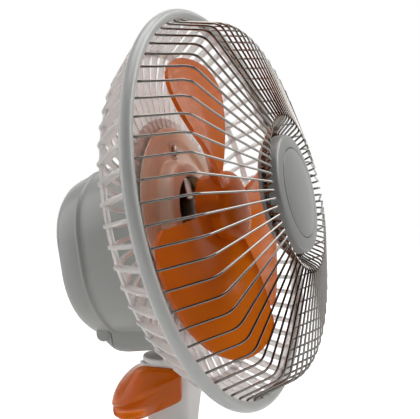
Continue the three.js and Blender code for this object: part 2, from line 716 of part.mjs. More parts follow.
/** Swivel post: tongue for the tilt pin, visible collar and a stem that turns in the neck. */
function swivelPost() {
  const shape = new THREE.Shape();
  shape.moveTo(-TONGUE_RADIUS, COLLAR_LOW + 1);
  shape.lineTo(TONGUE_RADIUS, COLLAR_LOW + 1);
  shape.lineTo(TONGUE_RADIUS, TILT_Z);
  shape.absarc(0, TILT_Z, TONGUE_RADIUS, 0, Math.PI, false);
  const tongue = cut(
    solid(acrossX(shape, TONGUE_HALF)),
    solid(rod('x', PIN_R + GAP, -9, 9, 14).translate(0, 0, TILT_Z)),
  );
  const turned = revolve([
    [0, CLIP_Z - 3.5], [STEM_R - 0.8, CLIP_Z - 3.5], [STEM_R, CLIP_Z - 2.7], [STEM_R, CLIP_Z - 0.6],
    [STEM_R - 0.8, CLIP_Z - 0.6], [STEM_R - 0.8, CLIP_Z + 0.6], [STEM_R, CLIP_Z + 0.6], [STEM_R, COLLAR_LOW],
    [COLLAR_R, COLLAR_LOW], [COLLAR_R, COLLAR_TOP - 0.7], [COLLAR_R - 0.7, COLLAR_TOP], [0, COLLAR_TOP],
  ], 24);
  return join(tongue, solid(turned.rotateX(Math.PI / 2)));
}

function swivelClip() {
  const whole = solid(ring([
    [STEM_R - 0.5, CLIP_Z - 0.45], [STEM_R + 1.8, CLIP_Z - 0.45], [STEM_R + 1.8, CLIP_Z + 0.45],
    [STEM_R - 0.5, CLIP_Z + 0.45],
  ], 14).rotateX(Math.PI / 2));
  return cut(whole, solid(box(-1.6, 1.6, 0, 9, CLIP_Z - 2, CLIP_Z + 2)));
}

const WASHER_DEPTH = 1.4;

function swivelWasher() {
  const low = NECK_TOP - WASHER_DEPTH + GAP;
  return ring([
    [STEM_R + 0.5, low], [9.4, low], [9.4, NECK_TOP - 0.1], [STEM_R + 0.5, NECK_TOP - 0.1],
  ], 16).rotateX(Math.PI / 2);
}

// ---------------------------------------------------------------- neck and upper jaw
const NECK_STATIONS = [ // z, half width, half depth, corner radius
  [NECK_TOP, 12.2, 13.2, 5], [91, 11.2, 12.2, 5], [80, 9.7, 11, 4.6], [70, 8.7, 10.4, 4.4],
  [60, 9.1, 10.8, 4.4], [52.5, 11.6, 13, 5.4], [46.5, 16.4, 15.4, 7], [41, 20.4, 17, 8],
];
const NECK_CENTRE_Y = 0.6;
const JAW_TOP = 41;
const SHELF_Z = 38; // flat top of the jaw ahead of the neck, for the switch
const CAVITY_TOP = 36.8;

const neckLoft = (grow = 0) => loft(NECK_STATIONS.map(([z, x, y, r]) => (
  roundedRing(x + grow, y + grow, r + grow, z + (z === NECK_TOP ? grow : 0), NECK_CENTRE_Y)
)));

/** Plan outline that both jaws share: straight sides and a rounded front. */
function jawPlan(rear) {
  const shape = new THREE.Shape();
  const corner = 15;
  shape.moveTo(JAW_HALF, rear);
  shape.lineTo(-JAW_HALF, rear);
  shape.lineTo(-JAW_HALF + 1.5, JAW_FRONT + corner);
  shape.quadraticCurveTo(-JAW_HALF + 1.5, JAW_FRONT, -6, JAW_FRONT);
  shape.lineTo(6, JAW_FRONT);
  shape.quadraticCurveTo(JAW_HALF - 1.5, JAW_FRONT, JAW_HALF - 1.5, JAW_FRONT + corner);
  return shape;
}

function upperJawBlank() {
  const side = outline([
    [JAW_FRONT - 1, UPPER_JAW_LOW], [JAW_REAR, UPPER_JAW_LOW], [JAW_REAR, JAW_TOP - 3], [JAW_REAR - 4, JAW_TOP],
    [-13, JAW_TOP], [-18, SHELF_Z], [-38, SHELF_Z], [-50, 32.5], [JAW_FRONT - 1, 28],
  ]);
  return solid(acrossX(side, JAW_HALF, 2)).intersect(solid(upZ(jawPlan(JAW_REAR), 0, 60)));
}

const PAD_REAR = -12;
const PAD_FRONT = -52;
const PAD_SINK = 1;
const SWITCH = { x: 7, y0: -35, y1: -20, depth: 7 };
const INLET_Z = 60;
const INLET_R = 4.2;
const INLET_DEPTH = 3;
const INLET_BACK = 11.4;

/** Neck and fixed jaw, one moulding, hollowed for the hinge, the swivel, the switch and the inlet. */
function neck() {
  const turned = (profile, segments) => solid(revolve(profile, segments).rotateX(Math.PI / 2));
  const bore = turned([
    [0, CLIP_Z - 5], [STEM_R + 2.2, CLIP_Z - 5], [STEM_R + 2.2, CLIP_Z + 0.45 + GAP],
    [STEM_R + GAP, CLIP_Z + 0.45 + GAP], [STEM_R + GAP, NECK_TOP - WASHER_DEPTH],
    [9.7, NECK_TOP - WASHER_DEPTH], [9.7, NECK_TOP + 1], [0, NECK_TOP + 1],
  ], 24);
  const cavity = solid(box(-CAVITY_HALF, CAVITY_HALF, -6, JAW_REAR + 5, UPPER_JAW_LOW - 5, CAVITY_TOP));
  const hinge = solid(rod('x', PIN_R + GAP, -30, 30, 14).translate(0, HINGE_Y, HINGE_Z));
  const head = (from, to) => solid(rod('x', 3.6 + GAP, from, to, 18).translate(0, HINGE_Y, HINGE_Z));
  const pad = solid(box(-PAD_HALF - GAP, PAD_HALF + GAP, PAD_FRONT - GAP, PAD_REAR + GAP, 0, UPPER_JAW_LOW + PAD_SINK));
  const well = solid(box(-SWITCH.x + 1, SWITCH.x - 1, SWITCH.y0 + 1, SWITCH.y1 - 1, SHELF_Z - SWITCH.depth - GAP, 60));
  const inlet = solid(rod('y', INLET_R + GAP, INLET_BACK - INLET_DEPTH, 30, 14).translate(0, 0, INLET_Z));
  const duct = solid(rod('y', 2.4, 0, 30, 12).translate(0, 0, INLET_Z));
  return cut(
    join(upperJawBlank(), solid(neckLoft())),
    bore, cavity, hinge, head(JAW_HALF - 1.8, 30), head(-30, 1.8 - JAW_HALF), pad, well, inlet, duct,
  );
}

/** Rubber pad with ribs across the jaw; the ribs face up or down. */
function pad(base, direction) {
  const pitch = 4;
  const rib = 1;
  const points = [[PAD_FRONT, base], [PAD_REAR, base]];
  const face = base + direction * (PAD_THICKNESS + PAD_SINK - GAP);
  for (let y = PAD_REAR; y > PAD_FRONT + 0.1; y -= pitch) {
    points.push([y, face - direction * rib], [y - 0.7, face], [y - pitch + 0.9, face], [y - pitch + 0.2, face - direction * rib]);
  }
  points.push([PAD_FRONT, face - direction * rib]);
  return acrossX(outline(points), PAD_HALF);
}

// ---------------------------------------------------------------- lower jaw, hinge and spring
const LOWER_REAR = 24;
const EAR_OUTER = CAVITY_HALF - GAP;

function lowerJaw() {
  const side = outline([
    [JAW_FRONT + 3, 0], [LOWER_REAR - 2, 0], [LOWER_REAR, 2], [LOWER_REAR, LOWER_JAW_TOP],
    [JAW_FRONT + 5, LOWER_JAW_TOP], [JAW_FRONT - 1, LOWER_JAW_TOP - 4], [JAW_FRONT - 1, 3.5],
  ]);
  const plate = solid(acrossX(side, JAW_HALF, 1.5)).intersect(solid(upZ(jawPlan(LOWER_REAR + 1), -1, 60)));
  const earShape = new THREE.Shape();
  earShape.moveTo(HINGE_Y - EAR_R - 3, LOWER_JAW_TOP - 1);
  earShape.lineTo(HINGE_Y + EAR_R + 2, LOWER_JAW_TOP - 1);
  earShape.lineTo(HINGE_Y + EAR_R, HINGE_Z);
  earShape.absarc(HINGE_Y, HINGE_Z, EAR_R, 0, Math.PI, false);
  const ears = [-1, 1].map((sign) => solid(
    acrossX(earShape, EAR_THICKNESS / 2).translate(sign * (EAR_OUTER - EAR_THICKNESS / 2), 0, 0),
  ));
  const hinge = solid(rod('x', PIN_R + GAP, -30, 30, 14).translate(0, HINGE_Y, HINGE_Z));
  const sunk = LOWER_JAW_TOP - PAD_SINK;
  const seat = solid(box(-PAD_HALF - GAP, PAD_HALF + GAP, PAD_FRONT - GAP, PAD_REAR + GAP, sunk, 30));
  const screwHole = solid(rod('z', 1.5, 3, 30, 10).translate(0, LEVER_SCREW_Y, 0));
  return cut(join(plate, ...ears), hinge, seat, screwHole);
}

function clampPin() {
  const end = JAW_HALF - 1.8 + GAP;
  return join(
    solid(rod('x', PIN_R, -end - 1, end, 14)),
    solid(rod('x', 3.6, end, JAW_HALF - 0.2, 18)),
  ).translate([0, HINGE_Y, HINGE_Z]);
}

function clampPinCap() {
  const end = JAW_HALF - 1.8 + GAP;
  return cut(
    solid(rod('x', 3.6, 0.2 - JAW_HALF, -end, 18)),
    solid(rod('x', PIN_R + 0.1, -end - 1.1, -end + 1, 14)),
  ).translate([0, HINGE_Y, HINGE_Z]);
}

/** Torsion spring: curls round the hinge pin, one leg up under the jaw, one leg down on the lever tab. */
function clampSpring() {
  const perCurl = 8;
  const pitch = 2.5;
  const turns = SPRING_CURLS + 0.5;
  const centres = [];
  const leg = 13;
  const halfWidth = (turns * pitch) / 2;
  const place = (angle, x) => vec(x, HINGE_Y + SPRING_R * Math.cos(angle), HINGE_Z + SPRING_R * Math.sin(angle));
  const start = Math.PI / 2;
  const steps = Math.round(turns * perCurl);
  centres.push(vec(-halfWidth, HINGE_Y + leg, CAVITY_TOP - GAP - SPRING_WIRE_R));
  for (let i = 0; i <= steps; i += 1) {
    const share = i / steps;
    centres.push(place(start + share * turns * 2 * Math.PI, lerp(-halfWidth, halfWidth, share)));
  }
  centres.push(vec(halfWidth, HINGE_Y + leg, LEVER_TAB_TOP + SPRING_WIRE_R + GAP));
  const rings = centres.map((centre, i) => {
    const along = centres[Math.min(i + 1, centres.length - 1)].clone().sub(centres[Math.max(i - 1, 0)]).normalize();
    const across = vec(1, 0, 0).addScaledVector(along, -along.x).normalize();
    const up = along.clone().cross(across);
    const points = [];
    for (let k = 0; k < 5; k += 1) {
      const angle = (k / 5) * 2 * Math.PI;
      points.push(centre.clone()
        .addScaledVector(across, SPRING_WIRE_R * Math.cos(angle))
        .addScaledVector(up, SPRING_WIRE_R * Math.sin(angle)));
    }
    return points;
  });
  console.log('clamp spring, least gap between curls', (pitch - 2 * SPRING_WIRE_R).toFixed(2));
  return loft(rings);
}

// ---------------------------------------------------------------- levers
const LEVER_WALL = 2.2;
const UPPER_LEVER = [ // y, half width, top, crease and lip heights, from the neck's front to the nose
  [-10, 13.6, 100.4, 97.4, 86], [-2, 15, 100.5, 92.6, 81.6], [6, 15.6, 100.5, 87.6, 77.8],
  [12, 15.2, 100.2, 84, 75.6], [18, 13.9, 98.4, 81, 74.2], [23, 11.6, 94.8, 79.2, 73.4],
  [27, 8.8, 90.2, 78, 73.2], [29.6, 6, 85.6, 77.4, 73.8], [31, 3.4, 81.6, 77.2, 75],
];

/** One arch of the hood, closed along its open side. */
function hoodRing([y, half, top, crease, lip], inset) {
  const outer = [
    [0, top], [0.42 * half, top - 0.1 * (top - crease)], [0.78 * half, top - 0.42 * (top - crease)],
    [half, crease], [half - 0.5, lerp(crease, lip, 0.5)], [half - 1.4, lip],
  ];
  const drop = inset > 0 ? 6 : 0;
  const moved = outer.map(([x, z], i) => [
    Math.max(x - inset * Math.min(1, i / 3), i * 0.05), z - (i < 4 ? inset : 0) - (i === 5 ? drop : 0),
  ]);
  const right = moved.map(([x, z]) => vec(x, y, z));
  const left = moved.slice(1).reverse().map(([x, z]) => vec(-x, y, z));
  return [...right, ...left];
}

/** Thumb lever: a drooping hood that straddles the neck from behind. */
function upperLever() {
  const inner = UPPER_LEVER.map(([y, half, top, crease, lip], i) => {
    const back = i === UPPER_LEVER.length - 1 ? LEVER_WALL : 0;
    return [y - back, Math.max(half, LEVER_WALL + 1), top, crease, lip];
  });
  inner[0][0] -= 5;
  return cut(
    solid(loft(UPPER_LEVER.map((station) => hoodRing(station, 0)))),
    solid(loft(inner.map((station) => hoodRing(station, LEVER_WALL)))),
    solid(neckLoft(GAP)),
  );
}

const LEVER_TAB_TOP = LOWER_JAW_TOP + GAP + 2.6;
const LEVER_SCREW_Y = 17;

/** Finger lever: a tab screwed to the lower jaw and a rounded, dished grip behind it. */
function lowerLever() {
  const stations = [
    [LOWER_REAR + GAP, 17, 13.4, 4], [31, 16.6, 13.2, 4.6], [39, 14.6, 12, 5], [45, 11, 10.6, 5.2], [49.4, 5.6, 9, 5.6],
  ];
  const grip = loft(stations.map(([y, half, top, low]) => (
    roundedRing(half, (top - low) / 2, Math.min(3, (top - low) / 2 - 0.1), 0, (top + low) / 2)
      .map((p) => vec(p.x, y, p.y))
  )));
  const tab = box(-9, 9, LEVER_SCREW_Y - 5, LOWER_REAR + 4, LOWER_JAW_TOP + GAP, LEVER_TAB_TOP);
  const hole = solid(rod('z', 1.5, 0, 30, 10).translate(0, LEVER_SCREW_Y, 0));
  return cut(join(solid(grip), solid(tab)), hole);
}

function leverScrew() {
  return screw(2.6, 1.4, 1.2, 9).rotateX(Math.PI / 2).translate(0, LEVER_SCREW_Y, LEVER_TAB_TOP + GAP);
}

// ---------------------------------------------------------------- switch and inlet
const ROCKER_HALF = 4.4;
const ROCKER_Y = (SWITCH.y0 + SWITCH.y1) / 2;
const ROCKER_Z = SHELF_Z - 1.4;

/** Switch body: a flanged box let into the jaw's shelf, open at the top. */
function switchBody() {
  const flange = box(-SWITCH.x, SWITCH.x, SWITCH.y0, SWITCH.y1, SHELF_Z + GAP, SHELF_Z + 1.5);
  const can = box(
    -SWITCH.x + 1 + GAP, SWITCH.x - 1 - GAP, SWITCH.y0 + 1 + GAP, SWITCH.y1 - 1 - GAP,
    SHELF_Z - SWITCH.depth, SHELF_Z + 1,
  );
  const room = box(
    -ROCKER_HALF - GAP, ROCKER_HALF + GAP, SWITCH.y0 + 2.2, SWITCH.y1 - 2.2, SHELF_Z - SWITCH.depth + 1.2, 60,
  );
  const axle = rod('x', 1 + 0.2, -ROCKER_HALF - 1, ROCKER_HALF + 1, 12).translate(0, ROCKER_Y, ROCKER_Z);
  return cut(join(solid(flange), solid(can)), solid(room), solid(axle));
}

/** Rocker with a shallow saddle, resting with its front pressed. */
function switchRocker() {
  const reach = (SWITCH.y1 - SWITCH.y0) / 2 - 2.8;
  const shape = new THREE.Shape();
  shape.moveTo(-reach, -1.6);
  shape.lineTo(-1.2, -3.4);
  shape.lineTo(1.2, -3.4);
  shape.lineTo(reach, -1.6);
  shape.lineTo(reach, 3.4);
  shape.quadraticCurveTo(0, 1.6, -reach, 3.4);
  return join(
    solid(acrossX(shape, ROCKER_HALF)),
    solid(rod('x', 1, -ROCKER_HALF - 0.8, ROCKER_HALF + 0.8, 12)),
  );
}

/** Grommet that lines the cable hole in the back of the neck. */
function cordInlet() {
  const back = INLET_BACK - INLET_DEPTH + GAP;
  return ring([
    [2.2, back], [INLET_R, back], [INLET_R, INLET_BACK + 0.9], [INLET_R - 0.7, INLET_BACK + 1.8],
    [2.2, INLET_BACK + 1.8],
  ], 14);
}

// ---------------------------------------------------------------- assembly
const part = new THREE.Group();
const stand = new THREE.Group();
const head = new THREE.Group();
const fan = new THREE.Group();
head.position.set(0, 0, TILT_Z);
head.rotation.x = radians(-REST_TILT);
fan.position.set(0, -RIM_FORWARD, AXIS_RISE);
fan.rotation.x = Math.PI; // Y forward along the fan axis, Z down
part.add(stand);
stand.position.y = STAND_Y;
stand.add(head);
head.add(fan);

fan.add(
  mesh('rim_band', rimBand(), WHITE),
  mesh('front_guard', frontGuard(), CHROME),
  mesh('badge', badge(), GREY),
  mesh('badge_clamp', badgeClamp(), GREY),
  mesh('rear_guard', rearGuard(), MILKY),
  mesh('motor_cover', motorCover(), MILKY),
  mesh('front_shell', frontShell(), WHITE),
  mesh('rear_cover', rearCover(), WHITE),
  mesh('stator_core', statorCore(), STEEL),
  mesh('winding_front', windingEnd(CORE_FRONT_H + GAP, WINDING_FRONT_H), WINDING),
  mesh('winding_rear', windingEnd(CORE_BACK_H - GAP, WINDING_BACK_H), WINDING),
  mesh('front_bridge', bearingBridge(CORE_FRONT_H, BRACKET_FRONT_H), STEEL),
  mesh('rear_bridge', bearingBridge(CORE_BACK_H, REAR_BEARING_H), STEEL),
  mesh('front_bearing', bearing(BRACKET_FRONT_H, 1), STEEL),
  mesh('rear_bearing', bearing(REAR_BEARING_H, -1), STEEL),
  mesh('rotor_core', rotorCore(), STEEL),
  mesh('motor_shaft', rod('y', SHAFT_R, REAR_BEARING_H - 1, SHAFT_FRONT_H, 16), STEEL),
  mesh('fan_blades', fanBlades(), ORANGE),
);

const badgeScrew = mesh('badge_screw', screw(3, 1.5, BADGE_SCREW_R, CLAMP_FRONT_H - CLAMP_BACK_H + 2.6), STEEL);
badgeScrew.rotation.x = Math.PI;
badgeScrew.position.y = CLAMP_BACK_H - GAP;
fan.add(badgeScrew);

coverScrewPlaces().forEach(([x, s], i) => {
  const piece = mesh(`cover_screw_${i + 1}`, screw(2.6, 1.3, COVER_SCREW_R, 8), STEEL);
  piece.position.set(x, DISC_FRONT_H + GAP + 1.7 + GAP, s);
  fan.add(piece);
});

head.add(
  mesh('tilt_pin', tiltPin(), STEEL),
  mesh('tilt_pin_cap', tiltPinCap(), STEEL),
);

stand.add(
  mesh('swivel_post', swivelPost(), WHITE),
  mesh('swivel_clip', swivelClip(), STEEL),
  mesh('swivel_washer', swivelWasher(), STEEL),
  mesh('neck', neck(), WHITE),
  mesh('upper_lever', upperLever(), ORANGE),
  mesh('upper_pad', pad(UPPER_JAW_LOW + PAD_SINK - GAP, -1), RUBBER),
  mesh('lower_jaw', lowerJaw(), WHITE),
  mesh('lower_pad', pad(LOWER_JAW_TOP - PAD_SINK + GAP, 1), RUBBER),
  mesh('lower_lever', lowerLever(), ORANGE),
  mesh('lever_screw', leverScrew(), STEEL),
  mesh('clamp_pin', clampPin(), STEEL),
  mesh('clamp_pin_cap', clampPinCap(), STEEL),
  mesh('clamp_spring', clampSpring(), STEEL),
  mesh('switch_body', switchBody(), RUBBER),
);

['near', 'far'].forEach((side) => {
  const from = side === 'near' ? -TONGUE_HALF - GAP - 1.1 : TONGUE_HALF + GAP;
  const washer = mesh(`friction_washer_${side}`, frictionWasher(from), RUBBER);
  washer.position.z = TILT_Z;
  stand.add(washer);
});

const rocker = mesh('switch_rocker', switchRocker(), RUBBER);
rocker.position.set(0, ROCKER_Y, ROCKER_Z);
rocker.rotation.x = radians(-6);
stand.add(rocker);

const inlet = mesh('cord_inlet', cordInlet(), RUBBER);
inlet.position.z = INLET_Z;
stand.add(inlet);

export default part;
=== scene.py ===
"""Clip fan: the detailed model, its finishes and the studio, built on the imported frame."""

import json
from math import cos, pi, radians, sin, sqrt

import bpy
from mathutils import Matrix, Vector


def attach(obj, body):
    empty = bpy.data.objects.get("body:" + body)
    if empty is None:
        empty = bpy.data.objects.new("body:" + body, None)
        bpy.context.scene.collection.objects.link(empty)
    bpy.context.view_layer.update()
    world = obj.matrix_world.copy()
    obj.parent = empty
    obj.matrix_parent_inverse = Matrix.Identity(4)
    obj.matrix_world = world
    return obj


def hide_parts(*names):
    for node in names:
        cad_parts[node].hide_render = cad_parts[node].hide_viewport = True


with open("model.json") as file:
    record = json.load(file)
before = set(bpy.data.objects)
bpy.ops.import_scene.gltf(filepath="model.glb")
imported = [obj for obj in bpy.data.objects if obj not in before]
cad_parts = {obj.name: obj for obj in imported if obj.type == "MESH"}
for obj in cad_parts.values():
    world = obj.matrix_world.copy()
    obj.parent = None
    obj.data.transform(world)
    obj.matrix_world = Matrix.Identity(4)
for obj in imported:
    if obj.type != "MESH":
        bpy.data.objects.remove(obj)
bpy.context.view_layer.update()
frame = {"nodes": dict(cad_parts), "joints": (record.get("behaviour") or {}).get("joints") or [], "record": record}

bl_info = {
    "name": "Clip Fan",
    "version": (1, 0, 0),
    "blender": (4, 5, 0),
    "location": "View3D > Sidebar > Clip Fan",
    "description": "Builds a clip fan with its guards, blades, housing, neck and clamp",
    "category": "Object",
}

MM = 0.001
REST_TILT = radians(10.82)
JOINTS = {joint["name"]: joint for joint in frame["joints"]}
FAN_CENTRE = Vector(JOINTS["rotor_spin"]["pos_m"])  # middle of the rim, on the fan axis
STAND_Y = JOINTS["swivel_turn"]["pos_m"][1] / MM
TILT_Z = 118  # height of the tilt pin
NODES = frame["nodes"]


# ---------------------------------------------------------------- sizes and colours
def size(name, text, default, low=0.0, high=1.0):
    return bpy.props.FloatProperty(
        name=name, description=text, default=default * MM, min=low, max=high, unit="LENGTH"
    )


def colour(name, text, default):
    return bpy.props.FloatVectorProperty(
        name=name, description=text, default=default, size=3, min=0, max=1, subtype="COLOR"
    )


class ClipFanGuard(bpy.types.PropertyGroup):
    wire: size("Wire", "Radius of the front guard's wires", 0.48)
    wires: bpy.props.IntProperty(
        name="Wires", description="Wires in the front guard", default=66, min=12, max=120
    )
    ribs: bpy.props.IntProperty(
        name="Ribs", description="Ribs in the rear guard", default=60, min=12, max=120
    )
    rib_width: size("Rib width", "Width of a rear guard rib", 1.6)
    badge: size("Badge", "Radius of the badge", 26.2)


class ClipFanBlades(bpy.types.PropertyGroup):
    tip: size("Tip", "Radius of the blade tips", 71.0)
    hub: size("Hub", "Radius of the hub", 16.8)
    thickness: size("Thickness", "Thickness of a blade", 1.7)


class ClipFanColours(bpy.types.PropertyGroup):
    white: colour("White", "Stand", (0.80, 0.79, 0.77))
    rim: colour("Rim", "Rim band", (0.60, 0.61, 0.59))
    # The housing tone is the stand's white plastic darkened: painted shade of the housing's side that faces the
    # camera.
    housing: colour("Housing", "Motor housing", (0.41, 0.42, 0.40))
    milky: colour("Milky white", "Rear guard", (0.93, 0.89, 0.87))
    # The cover's warm tone is partly its own cream and partly a painted orange glow of light passed through and
    # reflected from the blades.
    cover: colour("Cover", "Motor cover", (0.90, 0.79, 0.68))
    orange: colour("Orange", "Blades and levers", (0.84, 0.21, 0.006))
    badge: colour("Badge", "Badge face", (0.31, 0.31, 0.30))
    # The wire colour is far darker than bright plating: painted dark reflection of the dim room on the
    # photographer's side.
    wire: colour("Wire", "Plated guard wires", (0.26, 0.245, 0.225))
    rubber: colour("Rubber", "Pads and grommets", (0.02, 0.02, 0.02))


# ---------------------------------------------------------------- drawing helpers
def clear_selection():
    if bpy.context.object and bpy.context.object.mode != "OBJECT":
        bpy.ops.object.mode_set(mode="OBJECT")
    bpy.ops.object.select_all(action="DESELECT")


def choose(*pieces):
    """Selects the pieces, the first one active."""
    clear_selection()
    for piece in pieces:
        piece.select_set(True)
    bpy.context.view_layer.objects.active = pieces[0]
    return pieces[0]


def draw(points, closed=False):
    """Straight stretches through points in millimetres, as a poly curve."""
    clear_selection()
    bpy.ops.curve.primitive_nurbs_path_add(location=(0, 0, 0))
    line = bpy.context.object
    line.data.splines.clear()
    spline = line.data.splines.new("POLY")
    spline.points.add(len(points) - 1)
    for dot, place in zip(spline.points, points):
        dot.co = (place[0] * MM, place[1] * MM, place[2] * MM, 1)
    spline.use_cyclic_u = closed
    return line


def draw_edges(points, closed=False):
    line = draw(points, closed)
    bpy.ops.object.convert(target="MESH")
    return line


def rounded(points, radius, closed=False, steps=4):
    """An outline with its corners replaced by short arcs."""
    done = []
    count = len(points)
    places = [Vector(p) for p in points]
    for i, here in enumerate(places):
        if not closed and i in (0, count - 1):
            done.append(here)
            continue
        before = places[i - 1] - here
        after = places[(i + 1) % count] - here
        reach = radius[i] if isinstance(radius, (list, tuple)) else radius
        reach = min(reach, before.length * 0.48, after.length * 0.48)
        start = here + before.normalized() * reach
        end = here + after.normalized() * reach
        for k in range(steps + 1):
            t = k / steps
            done.append((1 - t) ** 2 * start + 2 * t * (1 - t) * here + t**2 * end)
    return done


def edit(piece):
    choose(piece)
    bpy.ops.object.mode_set(mode="EDIT")
    bpy.ops.mesh.select_mode(type="VERT")
    bpy.ops.mesh.select_all(action="SELECT")


def close_edit(merge=1e-6):
    bpy.ops.mesh.select_all(action="SELECT")
    bpy.ops.mesh.remove_doubles(threshold=merge)
    bpy.ops.mesh.normals_make_consistent(inside=False)
    bpy.ops.object.mode_set(mode="OBJECT")


def turn(profile, steps=96, closed=False):
    """A profile of (radius, height) spun about the Z axis."""
    piece = draw_edges([(p[0], 0, p[1]) for p in profile], closed)
    edit(piece)
    bpy.ops.mesh.spin(
        steps=steps, angle=2 * pi, center=(0, 0, 0), axis=(0, 0, 1), use_auto_merge=True
    )
    close_edit(2e-6)
    return piece


def select_only(piece, first, end):
    """Selects the vertices from first up to end, and leaves the mesh in edit mode."""
    bpy.ops.mesh.select_all(action="DESELECT")
    bpy.ops.object.mode_set(mode="OBJECT")
    for j in range(first, end):
        piece.data.vertices[j].select = True
    bpy.ops.object.mode_set(mode="EDIT")


def skin(lines, closed=True, cap_start=True, cap_end=True):
    """Lines joined in order by faces; where they are closed, the ends can be filled."""
    piece = joined(*[draw_edges(line, closed) for line in lines])
    count = len(lines[0])
    last = len(lines) - 1
    edit(piece)
    for i in range(last):
        select_only(piece, i * count, (i + 2) * count)
        bpy.ops.mesh.select_mode(type="EDGE")
        bpy.ops.mesh.bridge_edge_loops()
        bpy.ops.mesh.select_mode(type="VERT")
    for wanted, ring in ((cap_start, 0), (cap_end, last)):
        if wanted:
            select_only(piece, ring * count, (ring + 1) * count)
            bpy.ops.mesh.edge_face_add()
    close_edit()
    return piece


def sheet_of(lines):
    """Open lines joined in order by faces."""
    return skin(lines, closed=False, cap_start=False, cap_end=False)


def plate(points, depth):
    """A closed outline in the YZ plane, extruded along X to either side of it."""
    piece = draw_edges(points, True)
    edit(piece)
    bpy.ops.mesh.edge_face_add()
    bpy.ops.mesh.extrude_region_move(TRANSFORM_OT_translate={"value": (depth * MM, 0, 0)})
    bpy.ops.mesh.select_all(action="SELECT")
    bpy.ops.transform.translate(value=(-depth * MM / 2, 0, 0))
    close_edit()
    return piece


def upright(points, low, high):
    """A closed outline in the XY plane, extruded from low to high."""
    piece = draw_edges([(x, y, low) for x, y in points], True)
    edit(piece)
    bpy.ops.mesh.edge_face_add()
    bpy.ops.mesh.extrude_region_move(
        TRANSFORM_OT_translate={"value": (0, 0, (high - low) * MM)}
    )
    close_edit()
    return piece


def block(x0, x1, y0, y1, z0, z1):
    """A box between two places on each axis, in millimetres."""
    clear_selection()
    middle = ((x0 + x1) / 2 * MM, (y0 + y1) / 2 * MM, (z0 + z1) / 2 * MM)
    bpy.ops.mesh.primitive_cube_add(size=1, location=middle)
    piece = bpy.context.object
    piece.scale = ((x1 - x0) * MM, (y1 - y0) * MM, (z1 - z0) * MM)
    settle(piece)
    return piece


def rod(axis, radius, start, end, centre=(0, 0, 0), sides=40):
    """A cylinder along X, Y or Z between two places on that axis, in millimetres."""
    clear_selection()
    bpy.ops.mesh.primitive_cylinder_add(vertices=sides, radius=radius * MM, depth=(end - start) * MM)
    piece = bpy.context.object
    middle = Vector(centre)
    index = "xyz".index(axis)
    middle[index] += (start + end) / 2
    piece.location = middle * MM
    if axis == "x":
        piece.rotation_euler = (0, pi / 2, 0)
    if axis == "y":
        piece.rotation_euler = (pi / 2, 0, 0)
    settle(piece)
    return piece


def settle(piece):
    """Puts an object's place, turn and scale into its mesh."""
    choose(piece)
    bpy.ops.object.transform_apply(location=True, rotation=True, scale=True)
    return piece


def place(piece, location=(0, 0, 0), turn_x=0.0, turn_y=0.0, turn_z=0.0):
    piece.location = Vector(location) * MM
    piece.rotation_euler = (turn_x, turn_y, turn_z)
    return settle(piece)


def joined(*pieces):
    whole = choose(*pieces)
    bpy.ops.object.join()
    return whole


def repeat(piece, count, whole=2 * pi, axis=(0, 0, 1), centre=(0, 0, 0)):
    """Copies of a piece spaced evenly round an axis, in one mesh."""
    edit(piece)
    bpy.ops.mesh.spin(
        steps=count - 1,
        dupli=True,
        angle=whole * (count - 1) / count,
        center=tuple(v * MM for v in centre),
        axis=axis,
    )
    bpy.ops.object.mode_set(mode="OBJECT")
    return piece


def apply(piece, kind, **settings):
    choose(piece)
    modifier = piece.modifiers.new(kind.title(), kind)
    for key, value in settings.items():
        setattr(modifier, key, value)
    bpy.ops.object.modifier_apply(modifier=modifier.name)
    return piece


def bevelled(piece, width, segments=3, angle=35):
    return apply(
        piece, "BEVEL", width=width * MM, segments=segments, limit_method="ANGLE",
        angle_limit=radians(angle), use_clamp_overlap=True, miter_outer="MITER_ARC",
    )


def combined(piece, operation, *tools):
    """A piece after a boolean with each tool in turn; the tools are used up."""
    for tool in tools:
        apply(piece, "BOOLEAN", operation=operation, object=tool, solver="EXACT")
        bpy.data.objects.remove(tool)
    return piece


def cut_away(piece, *tools):
    return combined(piece, "DIFFERENCE", *tools)


def duplicate(piece):
    choose(piece)
    bpy.ops.object.duplicate()
    return bpy.context.object


def smooth(piece, angle=35):
    choose(piece)
    bpy.ops.object.shade_smooth_by_angle(angle=radians(angle))
    return piece


def onto_fan(piece):
    """From the drawing frame (Z along the fan axis, Y up) to the head's place."""
    piece.rotation_euler = (pi / 2 - REST_TILT, 0, 0)
    piece.location = FAN_CENTRE
    return settle(piece)


def onto_stand(piece):
    piece.location = (0, STAND_Y * MM, 0)
    return settle(piece)


def take_over(piece, name, body, node, finish):
    """Names a finished piece and lets it stand for its node on its body."""
    piece.name = name
    piece.data.name = name
    piece.data.materials.clear()
    piece.data.materials.append(finish)
    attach(piece, body)
    if node:
        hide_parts(node)
    return piece


# ---------------------------------------------------------------- finishes
def group_socket(group, name, kind, way="INPUT", default=None):
    socket = group.interface.new_socket(name=name, in_out=way, socket_type=kind)
    if default is not None:
        socket.default_value = default


